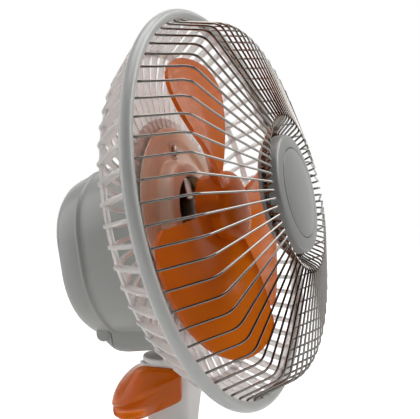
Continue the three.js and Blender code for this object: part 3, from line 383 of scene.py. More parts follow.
def mottle(group, noise, tone, spread):
    """Lets a noise's share above or below its middle vary a group's colour and roughness."""
    n, link = group.nodes, group.links.new
    given = next(node for node in n if node.type == "GROUP_INPUT")
    out = next(node for node in n if node.type == "GROUP_OUTPUT")
    centre = n.new("ShaderNodeMath")
    centre.operation = "SUBTRACT"
    centre.inputs[1].default_value = 0.5
    link(noise.outputs["Fac"], centre.inputs[0])
    shade = n.new("ShaderNodeMath")
    shade.operation = "MULTIPLY_ADD"
    shade.inputs[2].default_value = 1.0
    link(centre.outputs[0], shade.inputs[0])
    link(given.outputs[tone], shade.inputs[1])
    tinted = n.new("ShaderNodeVectorMath")
    tinted.operation = "SCALE"
    link(given.outputs["Colour"], tinted.inputs[0])
    link(shade.outputs[0], tinted.inputs["Scale"])
    link(tinted.outputs[0], out.inputs["Colour"])
    gloss = n.new("ShaderNodeMath")
    gloss.operation = "MULTIPLY_ADD"
    link(centre.outputs[0], gloss.inputs[0])
    link(given.outputs[spread], gloss.inputs[1])
    link(given.outputs["Roughness"], gloss.inputs[2])
    link(gloss.outputs[0], out.inputs["Roughness"])


def moulded_skin():
    """Node group: uneven tone, gloss and surface of moulded plastic."""
    group = bpy.data.node_groups.get("Moulded skin")
    if group:
        return group
    group = bpy.data.node_groups.new("Moulded skin", "ShaderNodeTree")
    group_socket(group, "Colour", "NodeSocketColor", default=(0.8, 0.8, 0.8, 1))
    group_socket(group, "Tone", "NodeSocketFloat", default=0.05)
    group_socket(group, "Roughness", "NodeSocketFloat", default=0.35)
    group_socket(group, "Spread", "NodeSocketFloat", default=0.08)
    group_socket(group, "Grain", "NodeSocketFloat", default=900.0)
    group_socket(group, "Colour", "NodeSocketColor", way="OUTPUT")
    group_socket(group, "Roughness", "NodeSocketFloat", way="OUTPUT")
    group_socket(group, "Height", "NodeSocketFloat", way="OUTPUT")
    n, link = group.nodes, group.links.new
    given, out = n.new("NodeGroupInput"), n.new("NodeGroupOutput")
    place_on = n.new("ShaderNodeTexCoord")
    broad = n.new("ShaderNodeTexNoise")
    broad.inputs["Scale"].default_value = 45
    broad.inputs["Detail"].default_value = 3
    link(place_on.outputs["Object"], broad.inputs["Vector"])
    fine = n.new("ShaderNodeTexNoise")
    fine.inputs["Detail"].default_value = 2
    link(place_on.outputs["Object"], fine.inputs["Vector"])
    link(given.outputs["Grain"], fine.inputs["Scale"])
    mottle(group, broad, "Tone", "Spread")
    link(fine.outputs["Fac"], out.inputs["Height"])
    return group


def drawn_metal():
    """Node group: fine uneven streaks of drawn or machined metal."""
    group = bpy.data.node_groups.get("Drawn metal")
    if group:
        return group
    group = bpy.data.node_groups.new("Drawn metal", "ShaderNodeTree")
    group_socket(group, "Colour", "NodeSocketColor", default=(0.5, 0.5, 0.5, 1))
    group_socket(group, "Streaks", "NodeSocketFloat", default=0.1)
    group_socket(group, "Roughness", "NodeSocketFloat", default=0.25)
    group_socket(group, "Colour", "NodeSocketColor", way="OUTPUT")
    group_socket(group, "Roughness", "NodeSocketFloat", way="OUTPUT")
    n, link = group.nodes, group.links.new
    n.new("NodeGroupInput")
    n.new("NodeGroupOutput")
    place_on = n.new("ShaderNodeTexCoord")
    noise = n.new("ShaderNodeTexNoise")
    noise.inputs["Scale"].default_value = 600
    noise.inputs["Detail"].default_value = 4
    link(place_on.outputs["Object"], noise.inputs["Vector"])
    mottle(group, noise, "Streaks", "Streaks")
    return group


def new_material(name):
    material = bpy.data.materials.new(name)
    material.use_nodes = True
    nodes = material.node_tree.nodes
    return material, nodes, material.node_tree.links.new, nodes["Principled BSDF"]


def plastic(
    name, tone, roughness, grain=900.0, bump=0.00002, through=0.0, clear=0.0, gloss=0.5
):
    """Moulded plastic; through is light that scatters in the wall, clear is light that passes it."""
    if name in bpy.data.materials:
        return bpy.data.materials[name]
    material, nodes, link, shader = new_material(name)
    skin_nodes = nodes.new("ShaderNodeGroup")
    skin_nodes.node_tree = moulded_skin()
    skin_nodes.inputs["Colour"].default_value = (*tone, 1)
    skin_nodes.inputs["Roughness"].default_value = roughness
    skin_nodes.inputs["Grain"].default_value = grain
    bumps = nodes.new("ShaderNodeBump")
    bumps.inputs["Strength"].default_value = 0.35
    bumps.inputs["Distance"].default_value = bump
    link(skin_nodes.outputs["Colour"], shader.inputs["Base Color"])
    link(skin_nodes.outputs["Roughness"], shader.inputs["Roughness"])
    link(skin_nodes.outputs["Height"], bumps.inputs["Height"])
    link(bumps.outputs["Normal"], shader.inputs["Normal"])
    shader.inputs["IOR"].default_value = 1.5
    shader.inputs["Subsurface Weight"].default_value = through
    shader.inputs["Subsurface Radius"].default_value = (1.0, 0.85, 0.75)
    shader.inputs["Subsurface Scale"].default_value = 0.004
    shader.inputs["Transmission Weight"].default_value = clear
    shader.inputs["Specular IOR Level"].default_value = gloss
    return material


def metal(name, tone, roughness, streaks=0.12):
    if name in bpy.data.materials:
        return bpy.data.materials[name]
    material, nodes, link, shader = new_material(name)
    drawn = nodes.new("ShaderNodeGroup")
    drawn.node_tree = drawn_metal()
    drawn.inputs["Colour"].default_value = (*tone, 1)
    drawn.inputs["Roughness"].default_value = roughness
    drawn.inputs["Streaks"].default_value = streaks
    link(drawn.outputs["Colour"], shader.inputs["Base Color"])
    link(drawn.outputs["Roughness"], shader.inputs["Roughness"])
    shader.inputs["Metallic"].default_value = 1.0
    return material


def colours():
    return bpy.context.scene.clip_fan_colours


def white():
    return plastic("White plastic", colours().white, 0.34)


def milky():
    return plastic("Milky plastic", colours().milky, 0.3, through=0.3, clear=0.55)


# Partly the cover's own cream, partly a painted orange glow from the blades.
def cover_cream_painted_glow():
    return plastic("Cover plastic", colours().cover, 0.25, through=0.5)


def rim_white():
    return plastic("Rim plastic", colours().rim, 0.3)


# Painted shade: the stand's white plastic, darkened for the motor housing.
def housing_white_painted_shade():
    return plastic("Housing plastic", colours().housing, 0.32)


def orange():
    return plastic(
        "Orange plastic", colours().orange, 0.2, grain=500.0, bump=0.00001, clear=0.5, gloss=0.11
    )


# Darkened plating: painted dark reflection on the guard wires.
def wire_finish_painted_dark():
    return metal("Plated wire", colours().wire, 0.16)


def steel():
    return metal("Steel", (0.42, 0.42, 0.41), 0.3)


def rubber():
    return plastic("Rubber", colours().rubber, 0.7, grain=1500.0, bump=0.00004)


def black_plastic():
    return plastic("Black plastic", (0.03, 0.03, 0.03), 0.45)


def grey():
    return plastic("Grey plastic", colours().badge, 0.3)


def winding_finish():
    """Varnished copper strands round each end turn."""
    if "Copper winding" in bpy.data.materials:
        return bpy.data.materials["Copper winding"]
    material, nodes, link, shader = new_material("Copper winding")
    place_on = nodes.new("ShaderNodeTexCoord")
    strands = nodes.new("ShaderNodeTexWave")
    strands.inputs["Scale"].default_value = 900
    strands.inputs["Distortion"].default_value = 2
    link(place_on.outputs["Object"], strands.inputs["Vector"])
    ramp = nodes.new("ShaderNodeValToRGB")
    ramp.color_ramp.elements[0].color = (0.05, 0.018, 0.008, 1)
    ramp.color_ramp.elements[1].color = (0.26, 0.10, 0.04, 1)
    link(strands.outputs["Fac"], ramp.inputs["Fac"])
    link(ramp.outputs["Color"], shader.inputs["Base Color"])
    bumps = nodes.new("ShaderNodeBump")
    bumps.inputs["Distance"].default_value = 0.0002
    link(strands.outputs["Fac"], bumps.inputs["Height"])
    link(bumps.outputs["Normal"], shader.inputs["Normal"])
    shader.inputs["Roughness"].default_value = 0.45
    shader.inputs["Metallic"].default_value = 0.3
    return material


def laminations():
    """Thin stacked steel sheets, square to the fan axis."""
    if "Laminated steel" in bpy.data.materials:
        return bpy.data.materials["Laminated steel"]
    material, nodes, link, shader = new_material("Laminated steel")
    place_on = nodes.new("ShaderNodeTexCoord")
    mapping = nodes.new("ShaderNodeMapping")
    mapping.inputs["Rotation"].default_value = (REST_TILT, 0, 0)
    link(place_on.outputs["Object"], mapping.inputs["Vector"])
    sheets = nodes.new("ShaderNodeTexWave")
    sheets.bands_direction = "Y"
    sheets.inputs["Scale"].default_value = 320
    link(mapping.outputs["Vector"], sheets.inputs["Vector"])
    ramp = nodes.new("ShaderNodeValToRGB")
    ramp.color_ramp.elements[0].color = (0.1, 0.1, 0.1, 1)
    ramp.color_ramp.elements[1].color = (0.4, 0.4, 0.39, 1)
    link(sheets.outputs["Fac"], ramp.inputs["Fac"])
    link(ramp.outputs["Color"], shader.inputs["Base Color"])
    shader.inputs["Metallic"].default_value = 1.0
    shader.inputs["Roughness"].default_value = 0.45
    return material


# ---------------------------------------------------------------- guards and badge
class CLIPFAN_OT_rim(bpy.types.Operator):
    """Builds the rolled rim band that holds both guards"""

    bl_idname = "clipfan.rim"
    bl_label = "Rim band"

    def execute(self, context):
        section = rounded(
            [(88.4, -3.4), (89.3, -3.4), (90.5, -1.9), (90.5, 0.4), (89.4, 1.8), (87.6, 1.7),
             (85.9, 0.8), (85.9, -0.3), (88.4, -0.3)],
            [0.2, 0.7, 0.9, 1.0, 1.0, 0.9, 0.5, 0.2, 0.2], closed=True, steps=4,
        )
        rim = onto_fan(turn(section, 144, closed=True))
        smooth(rim, 50)
        take_over(rim, "Rim_band", "head", "rim_band", rim_white())
        return {"FINISHED"}


WIRE_PHASE = 18.75  # degrees from the top to the first wire, towards the near side


def guard_wire_path():
    bends = [(87.3, -1.0), (85.1, -0.6), (78.5, 18.9), (34.2, 32.4), (28.6, 25.8), (24.4, 25.7)]
    path = rounded(bends, [0, 0.9, 3.6, 1.7, 1.4, 0], steps=6)
    return [(r, 0, h) for r, h in path]


class CLIPFAN_OT_front_guard(bpy.types.Operator):
    """Bends one wire and repeats it round the axis, with the rings it is welded to"""

    bl_idname = "clipfan.front_guard"
    bl_label = "Front guard"

    def execute(self, context):
        sizes = context.scene.clip_fan_guard
        wire = draw(guard_wire_path())
        wire.data.dimensions = "3D"
        wire.data.bevel_depth = sizes.wire
        wire.data.bevel_resolution = 1
        wire.data.use_fill_caps = True
        bpy.ops.object.convert(target="MESH")
        place(wire, turn_z=radians(90 + WIRE_PHASE))
        repeat(wire, sizes.wires)
        eighths = [k * pi / 4 for k in range(8)]
        rings = [
            turn([(r + w * cos(a), h + w * sin(a)) for a in eighths], 132, True)
            for r, h, w in ((87.6, -1.05, 0.5), (24.4, 25.7, 0.75))
        ]
        guard = onto_fan(joined(wire, *rings))
        smooth(guard, 60)
        take_over(guard, "Front_guard", "head", "front_guard", wire_finish_painted_dark())
        return {"FINISHED"}


class CLIPFAN_OT_badge(bpy.types.Operator):
    """Turns the domed badge with its engraved ring, and the ribbed plate behind it"""

    bl_idname = "clipfan.badge"
    bl_label = "Badge"

    def execute(self, context):
        edge = context.scene.clip_fan_guard.badge / MM
        back, foot = 30.45, 26.75
        face = rounded(
            [(0, back - 0.8), (edge - 2, back - 0.8), (edge - 1.2, foot), (edge + 0.2, foot),
             (edge, back + 0.4), (edge - 0.9, back + 1.2), (20.3, back + 1.75), (20.1, back + 1.45),
             (19.75, back + 1.45), (19.55, back + 1.85), (11, back + 2.6), (0, back + 2.8)],
            [0, 0.8, 0.4, 0.3, 0.8, 0.8, 0.08, 0.08, 0.08, 0.08, 4, 0], steps=4,
        )
        badge = onto_fan(turn(face, 128))
        smooth(badge, 40)
        take_over(badge, "Badge", "head", "badge", grey())
        low, high = back + 1.2, back + 1.5
        groove = onto_fan(turn([(20.08, low), (20.08, high), (19.77, high), (19.77, low)], 128, True))
        take_over(groove, "Badge_line", "head", None, black_plastic())
        section = [(1.6, 22.7), (25.2, 22.7), (26, 23.5), (26, 24.85), (1.6, 24.85)]
        clamp = turn(rounded(section, 0.3, True, 2), 96, True)
        ribs = block(-0.6, 0.6, 5, 22, 21.7, 22.9)
        clamp = onto_fan(joined(clamp, repeat(ribs, 6)))
        smooth(clamp, 40)
        take_over(clamp, "Badge_clamp", "head", "badge_clamp", grey())
        return {"FINISHED"}


RIB_PHASE = 3.0  # degrees from the drawing's X axis to the first rib
GUARD_WALL = [(87.9, -2.35), (87.2, -4.6), (83.4, -10.1), (79.6, -15.4), (77.5, -18.4), (75.7, -20.8),
              (73.3, -22.3), (67, -24.4), (61.5, -26.3), (47, -27.3), (43.4, -27.0), (38.6, -26.6)]
FIN_ROWS = 6  # the fins stand out from the shoulder to the rim, and lie flush behind


def wall_offset(points, distance):
    """A line moved sideways, square to itself."""
    moved = []
    for i, (r, h) in enumerate(points):
        a, b = points[max(i - 1, 0)], points[min(i + 1, len(points) - 1)]
        along = Vector((b[0] - a[0], b[1] - a[1])).normalized()
        moved.append((r - along.y * distance, h + along.x * distance))
    return moved


class CLIPFAN_OT_rear_guard(bpy.types.Operator):
    """Builds the moulded rear guard: radial ribs tied by a flange, a shoulder and an inner ring"""

    bl_idname = "clipfan.rear_guard"
    bl_label = "Rear guard"

    def execute(self, context):
        sizes = context.scene.clip_fan_guard
        inner = wall_offset(GUARD_WALL, -2.4)
        fins = [*wall_offset(GUARD_WALL, 0.8)[:FIN_ROWS], *wall_offset(GUARD_WALL, 0.1)[FIN_ROWS:]]
        rib_line = [GUARD_WALL[0], *inner, *GUARD_WALL[:-3:-1], *fins[2:-2][::-1], GUARD_WALL[1]]
        rib_line[1] = (GUARD_WALL[0][0] - 2.2, GUARD_WALL[0][1])
        rib = plate([(0, r, h) for r, h in rib_line], sizes.rib_width / MM)
        bevelled(rib, 0.3, 2, 50)
        place(rib, turn_z=radians(RIB_PHASE))
        repeat(rib, sizes.ribs)

        def band(first, last, skin_in=-2.0, skin_out=0.0, round_by=0.5):
            wall = GUARD_WALL[first : last + 1]
            section = wall_offset(wall, skin_out) + wall_offset(wall, skin_in)[::-1]
            return turn(rounded(section, round_by, True, 3), 180, closed=True)

        bands = [band(0, 1), band(4, 5, -1.5, 0.0, 0.3), band(9, 11)]
        guard = onto_fan(joined(rib, *bands))
        smooth(guard, 40)
        take_over(guard, "Rear_guard", "head", "rear_guard", milky())
        return {"FINISHED"}


class CLIPFAN_OT_motor_cover(bpy.types.Operator):
    """Turns the raised cover in the middle of the rear guard, with the holes and lips for its screws"""

    bl_idname = "clipfan.motor_cover"
    bl_label = "Motor cover"

    def execute(self, context):
        back = -26.6
        section = rounded(
            [(24, back), (37.9, back), (37.9, -24.3), (42.2, -23.8), (42.2, -22.8), (36.4, -23.0),
             (35.4, back + 1.7), (26.4, back + 1.7), (25.2, -19.4), (23.8, -18), (18.2, -17.6),
             (18.2, -19.4), (22.9, -19.8)],
            [0.5, 0.2, 0.3, 0.5, 0.5, 0.8, 1.2, 1.4, 1.6, 1.0, 0.5, 0.4, 1.0], True, 4,
        )
        cover = turn(section, 128, closed=True)
        # the drawing's Y runs up, so a place that is down in the source is negative here
        screws = [(31.5 * cos(radians(a)), -31.5 * sin(radians(a)), 0) for a in (30, 150, 270)]
        cut_away(cover, *[rod("z", 1.5, back - 1, back + 3, centre, 20) for centre in screws])
        for centre in screws:  # after the cuts, which can lose a lip that only overlaps the cover
            lip = rounded(
                [(1.5, back + 1.5), (4.4, back + 1.5), (4.4, back + 2.1), (3.4, back + 2.1),
                 (3.2, back + 1.8), (1.5, back + 1.8)], 0.2, True, 2,
            )
            lip = turn(lip, 32, True)
            cover = joined(cover, place(lip, centre))
        onto_fan(cover)
        smooth(cover, 40)
        take_over(cover, "Motor_cover", "head", "motor_cover", cover_cream_painted_glow())
        return {"FINISHED"}


# ---------------------------------------------------------------- fan
def blade_height(radius, angle):
    share = max(0.0, min(1.0, (radius - 10) / 62))
    base = -7.0 + 2.9 * sin(pi * share)
    rise = 9.3 + 6.7 * (radius - 16.8) / (71 - 16.8)
    past = max(0.0, angle - 5) / 57
    return base + rise * past**2


def blade_reach(angle, tip):
    def corner(inside, width, depth):
        short = max(0.0, 1 - inside / width)
        return depth * (1 - sqrt(max(0.0, 1 - short**2)))

    return tip - corner(angle + 23, 13, 13) - corner(62 - angle, 28, 21)


class CLIPFAN_OT_fan(bpy.types.Operator):
    """Builds the hub and its three cambered blades"""

    bl_idname = "clipfan.fan"
    bl_label = "Fan"

    def execute(self, context):
        sizes = context.scene.clip_fan_blades
        tip, hub = sizes.tip / MM, sizes.hub / MM
        half = sizes.thickness / MM / 2
        lines = []
        count = 30
        for i in range(count + 1):
            share = 0.5 - 0.5 * cos(pi * i / count)
            angle = -23 + half + (85 - 2 * half) * share
            reach = blade_reach(angle, tip) - half
            root = hub - 1.2
            line = []
            for j in range(25):
                radius = root + (reach - root) * (1 - (1 - j / 24) ** 1.3)
                theta = radians(angle)
                line.append((-radius * sin(theta), radius * cos(theta), blade_height(radius, angle)))
            lines.append(line)
        blade = sheet_of(lines)
        apply(blade, "SOLIDIFY", thickness=sizes.thickness, offset=0, use_even_offset=True)
        bevelled(blade, half * 0.95, 4, 50)
        repeat(blade, 3)
        body = turn(
            rounded(
                [(0, 0.7), (1.7, 0.7), (1.7, -9.6), (4.2, -9.6), (4.2, 0.6), (hub - 2.2, 0.6),
                 (hub - 1.7, -1.5), (hub - 1.7, -11), (hub, -11), (hub, 0.2), (hub - 1.4, 2.6),
                 (hub - 4.5, 3.5), (7, 3.9), (0, 4.0)],
                [0, 0.1, 0.2, 0.2, 0.5, 0.8, 0.5, 0.3, 0.4, 1.6, 1.6, 1.6, 2, 0], steps=4,
            ),
            96,
        )
        fan = onto_fan(joined(blade, body))
        smooth(fan, 45)
        take_over(fan, "Fan", "rotor", "fan_blades", orange())
        return {"FINISHED"}


# ---------------------------------------------------------------- motor housing
SEAM = -63.8  # where the two shells of the case meet
CASE_WALL = 2.2
CASE = [(37.2, -29.0), (36.8, -38), (35.8, -50), (34.9, -58), (34.4, -60.6), (34.6, -61.4), (35.1, -61.9),
        (35.2, -62.5), (35.1, -63.2), (34.5, SEAM)]
CASE_BACK = [(34.1, SEAM), (33.6, -68), (32.8, -72), (31.8, -74.8), (30.2, -77.0), (27.6, -78.6),
             (23.4, -79.5), (18, -79.8)]


def case_loop(radius, h, steps=28):
    """Upright stadium section of the case: two half rounds joined by flat flanks."""
    loop = []
    for centre, start in ((-4.6, 0), (-17.8, pi)):
        for i in range(steps + 1):
            a = start + pi * i / steps
            loop.append((radius * cos(a), centre + radius * sin(a), h))
    return loop


def boss_block():
    """The tilt boss under the case, drawn in the plane of the fan axis."""
    outline = [(-60, 26), (-76.4, 32), (-77.6, 38.5), (-74.5, 44), (-70, 50.2), (-64.6, 56),
               (-59.2, 57.5), (-46, 58.2), (-39.8, 58.2), (-30.6, 57.8), (-30.6, 49), (-30.6, 26)]
    radii = [0, 3, 3, 3, 4, 4, 3, 6, 2, 8, 2, 0]
    flat = rounded([(h, s) for h, s in outline], radii, True, 6)
    boss = plate([(0, -s, h) for h, s in flat], 36)
    return bevelled(boss, 3.2, 5, 50)


class CLIPFAN_OT_housing(bpy.types.Operator):
    """Builds the two shells of the motor housing and the tilt boss"""

    bl_idname = "clipfan.housing"
    bl_label = "Motor housing"

    def execute(self, context):
        front = skin([case_loop(r, h) for r, h in CASE], cap_start=False, cap_end=False)
        apply(front, "SOLIDIFY", thickness=CASE_WALL * MM, offset=-1, use_even_offset=True)
        boss = boss_block()
        rear_boss = duplicate(boss)
        cut_away(boss, block(-60, 60, -90, 20, -100, SEAM + 0.2))
        pin_places = ((15.2, 20), (-20, -15.2))
        pins = [rod("x", 4.5, a, b, (0, -49, -39.8)) for a, b in pin_places]
        cut_away(boss, block(-5.3, 5.3, -60, -39, -51.3, -20), *pins)
        disc = [(19.2, -30.9), (42.8, -30.9), (42.8, -26.9), (19.2, -26.9)]
        disc = turn(rounded(disc, 0.5, True, 3), 128, True)
        socket = [(21.3, -53), (23.3, -53), (23.3, -29), (21.3, -29)]
        socket = turn(rounded(socket, 0.3, True, 2), 96, True)
        shell = onto_fan(joined(front, boss, disc, socket))
        smooth(shell, 40)
        take_over(shell, "Front_housing", "head", "front_shell", housing_white_painted_shade())

        first, *rest = CASE_BACK
        loops = [(first[0], first[1] - 0.1), *rest]
        cover = skin([case_loop(r - 0.05, h) for r, h in loops], cap_start=False)
        apply(cover, "SOLIDIFY", thickness=CASE_WALL * MM, offset=-1, use_even_offset=True)
        slots = []
        for i in range(5):
            top = -0.6 - i * 7
            slot = block(-15, 15, top - 2.4, top, -84, -74)
            bevelled(slot, 1.1, 3, 50)
            slots.append(slot)
        cut_away(cover, *slots)
        cut_away(rear_boss, block(-60, 60, -90, 20, SEAM - 0.2, 0))
        caps = [rod("x", 3.6, a, b, (0, -47.5, -68.2)) for a, b in ((17.5, 18.5), (-18.5, -17.5))]
        for cap in caps:
            bevelled(cap, 0.35, 3, 50)
        cover = onto_fan(joined(cover, rear_boss, *caps))
        smooth(cover, 40)
        take_over(cover, "Rear_cover", "head", "rear_cover", housing_white_painted_shade())
        return {"FINISHED"}


# ---------------------------------------------------------------- stand
def rounded_loop(half_x, half_y, corner, z, centre_y=0.0, steps=6):
    loop = []
    for k, (sx, sy) in enumerate(((1, 1), (-1, 1), (-1, -1), (1, -1))):
        for i in range(steps + 1):
            a = (k + i / steps) * pi / 2
            x = sx * (half_x - corner) + corner * cos(a)
            loop.append((x, centre_y + sy * (half_y - corner) + corner * sin(a), z))
    return loop


NECK = [  # height, half width, half depth and corner radius, from the top
    (101, 12.2, 13.2, 5), (96, 11.8, 12.7, 5), (91, 11.2, 12.2, 5), (85, 10.4, 11.5, 4.8),
    (80, 9.7, 11, 4.6), (75, 9.1, 10.6, 4.5), (70, 8.8, 10.4, 4.4), (65, 8.8, 10.5, 4.4),
    (60, 9.2, 10.8, 4.4), (56, 10.2, 11.7, 4.8), (52.5, 11.9, 13.1, 5.4), (49.5, 14.2, 14.4, 6.2),
    (46.5, 16.7, 15.5, 7), (44, 18.6, 16.3, 7.6), (41, 20.4, 17, 8),
]


class CLIPFAN_OT_neck(bpy.types.Operator):
    """Builds the neck and the fixed jaw as one moulding"""

    bl_idname = "clipfan.neck"
    bl_label = "Neck and fixed jaw"

    def execute(self, context):
        neck = skin([rounded_loop(x, y, r, z, 0.6) for z, x, y, r in NECK])
        side = [(-59, 22.5), (21, 22.5), (21, 38), (17, 41), (-13, 41), (-18, 38), (-38, 38),
                (-50, 32.5), (-59, 28)]
        jaw = rounded(side, [0, 0, 3, 4, 5, 4, 5, 5, 0], True, 4)
        jaw = plate([(0, y, z) for y, z in jaw], 44)
        combined(jaw, "INTERSECT", upright(jaw_plan(21), 10, 60))
        bevelled(jaw, 1.6, 4, 50)
        neck = combined(neck, "UNION", jaw)
        cut_away(
            neck,
            block(-17.6, 17.6, -6, 26, 16, 36.8),
            block(-16.3, 16.3, -52.3, -11.7, 10, 23.5),
            block(-6, 6, -34, -21, 30.7, 60),
            rod("y", 4.5, 8.4, 30, (0, 0, 60)),
            rod("z", 4.8, 77, 110),
            rod("z", 9.7, 99.5, 110),
            rod("x", 3.9, 20.2, 30, (0, 8, 29)),
            rod("x", 3.9, -30, -20.2, (0, 8, 29)),
        )
        onto_stand(neck)
        smooth(neck, 40)
        take_over(neck, "Neck", "base", "neck", white())
        return {"FINISHED"}


def jaw_plan(rear):
    corners = [(22, rear), (-22, rear), (-20.5, -43), (-20.5, -58), (20.5, -58), (20.5, -43)]
    return [(x, y) for x, y in rounded(corners, [0, 0, 0, 15, 15, 0], True, 8)]


class CLIPFAN_OT_swivel(bpy.types.Operator):
    """Builds the collar, its stem and the tongue that holds the tilt pin"""

    bl_idname = "clipfan.swivel"
    bl_label = "Swivel post"

    def execute(self, context):
        profile = rounded(
            [(0, 78), (3.7, 78), (4.5, 78.8), (4.5, 80.9), (3.7, 80.9), (3.7, 82.1), (4.5, 82.1),
             (4.5, 101.3), (14.9, 101.3), (14.9, 103.8), (0, 103.8)],
            [0, 0, 0.2, 0.1, 0.1, 0.1, 0.1, 0.3, 0.5, 0.9, 0], steps=4,
        )
        post = turn(profile, 96)
        arc = [(5.5 * cos(pi * k / 16), TILT_Z + 5.5 * sin(pi * k / 16)) for k in range(17)]
        tongue = plate([(0, y, z) for y, z in [(-5.5, 102.5), (5.5, 102.5), *arc]], 7.2)
        bevelled(tongue, 0.4, 3, 50)
        post = onto_stand(joined(post, tongue))
        smooth(post, 40)
        take_over(post, "Swivel_post", "swivel", "swivel_post", white())
        return {"FINISHED"}


LEVER_WALL = 1.5
NOSE_Y, NOSE_Z = 33.2, 78.4  # where the hood closes to a small oval
LEVER = [  # y, half width, top, crease and lip heights
    (-10, 14.2, 99.9, 97.0, 86), (-6, 14.6, 99.9, 94.8, 83.6), (-2, 15, 99.9, 92.4, 81.6),
    (2, 15.3, 99.9, 90.0, 79.6), (6, 15.4, 99.9, 87.6, 77.8), (12, 15.1, 99.8, 84, 75.6),
    (18, 14.0, 98.6, 81, 74.2), (23, 12.0, 95.4, 79.4, 73.2), (27, 9.6, 91.3, 78.2, 72.8),
    (30, 7.2, 87.4, 77.6, 73.0), (32.2, 4.6, 83.2, 77.4, 74.2),
]


def hood_line(station):
    """Half of the hood's section: a square arch beside the neck, a round one towards the nose."""
    y, half, top, crease, lip = station
    dish = 0.34 * half * min(1.0, max(0.0, (y + 4) / 22))
    square = min(1.0, max(0.0, (21 - y) / 9))
    arch = [(0, 0), (0.24, 0.03), (0.46, 0.13), (0.68, 0.32), (0.86, 0.58), (0.97, 0.86), (1, 1)]
    box = [(0, 0), (0.4, 0), (0.74, 0), (0.92, 0.02), (0.935, 0.3), (0.95, 0.7), (1, 1)]
    outer = [
        *[((a + (c - a) * square) * half, top - (b + (d - b) * square) * (top - crease))
          for (a, b), (c, d) in zip(arch, box)],
        (half - 0.55 - 0.5 * dish, crease - 0.16 * (crease - lip)),
        (half - 0.9 - 0.95 * dish, lip + 0.52 * (crease - lip)),
        (half - 0.9 - 0.75 * dish, lip + 0.26 * (crease - lip)),
        (half - 0.9 - 0.2 * dish, lip + 0.05 * (crease - lip)),
        (half - 1.3, lip),
    ]
    return [(x, y, z) for x, z in outer]


class CLIPFAN_OT_upper_lever(bpy.types.Operator):
    """Builds the drooping thumb lever that straddles the neck"""

    bl_idname = "clipfan.upper_lever"
    bl_label = "Thumb lever"

    def execute(self, context):
        lines = []
        for station in LEVER:
            right = hood_line(station)
            left = [(-x, y, z) for x, y, z in right[1:]][::-1]
            lines.append(left + right)
        lines.append([(x * 0.25, NOSE_Y, NOSE_Z + (z - NOSE_Z) * 0.3) for x, y, z in lines[-1]])
        hood = sheet_of(lines)
        apply(hood, "SUBSURF", levels=2, render_levels=2)
        apply(hood, "SOLIDIFY", thickness=LEVER_WALL * MM, offset=-1, use_even_offset=True)
        bevelled(hood, 0.6, 3, 50)
        onto_stand(hood)
        smooth(hood, 50)
        take_over(hood, "Thumb_lever", "base", "upper_lever", orange())
        return {"FINISHED"}


# ---------------------------------------------------------------- plain nodes
FINISH_OF_SLOT = {
    "white_plastic": white,
    "milky_plastic": milky,
    "orange_plastic": orange,
    "chrome_wire": wire_finish_painted_dark,
    "steel": steel,
    "grey_plastic": grey,
    "rubber": rubber,
    "black_plastic": black_plastic,
    "copper_winding": winding_finish,
}
FINISH_OF_NODE = {"stator_core": laminations}


class CLIPFAN_OT_nodes(bpy.types.Operator):
    """Gives the frame's own pieces their finishes and soft edges"""

    bl_idname = "clipfan.nodes"
    bl_label = "Frame pieces"

    def execute(self, context):
        for part in frame["record"]["subparts"]:
            node = NODES[part["node"]]
            node.data.materials.clear()
            finish = FINISH_OF_NODE.get(part["node"]) or FINISH_OF_SLOT[part["material_slot"]]
            node.data.materials.append(finish())
            node.data.shade_smooth()
            weld = node.modifiers.new("Weld", "WELD")
            weld.merge_threshold = 1e-6
            edges = node.modifiers.new("Soft edges", "BEVEL")
            edges.width = 0.25 * MM
            edges.segments = 2
            edges.limit_method = "ANGLE"
            edges.angle_limit = radians(40)
            edges.harden_normals = True
        return {"FINISHED"}


# ---------------------------------------------------------------- studio
class CLIPFAN_OT_stage(bpy.types.Operator):
    """Sets the floor, the lamps, the surroundings and the camera"""

    bl_idname = "clipfan.stage"
    bl_label = "Studio"

    def execute(self, context):
        scene = context.scene
        clear_selection()
        bpy.ops.mesh.primitive_plane_add(size=6, location=(0, 0, -0.0002))
        floor = context.object
        floor.name = "Floor"
        floor.data.materials.append(floor_finish())
        lamps = [
            lamp("Key", (1.0, -1.05, 1.3), 1.4, 20),
            lamp("Back", (-0.5, 1.5, 0.7), 1.6, 10),
            lamp("Top", (0.1, 0.1, 1.6), 1.4, 15),
        ]
        world_light(scene)
        camera_data = bpy.data.cameras.new("Camera")
        camera = bpy.data.objects.new("Camera", camera_data)
        scene.collection.objects.link(camera)
        camera.location = (-0.28949, -0.14015, 0.17215)
        camera.rotation_euler = (pi / 2, 0, radians(-65.8))
        camera_data.lens = 58.79
        camera_data.sensor_width = 36
        camera_data.clip_start = 0.01
        scene.camera = camera
        scene.view_settings.view_transform = "Standard"
        return {"FINISHED"}


def lamp(name, location, width, power):
    clear_selection()
    bpy.ops.object.light_add(type="AREA", location=location)
    light = bpy.context.object
    light.name = name
    light.data.shape = "DISK"
    light.data.size = width
    light.data.energy = power
    aim = FAN_CENTRE - Vector(location)
    light.rotation_euler = aim.to_track_quat("-Z", "Y").to_euler()
    return light


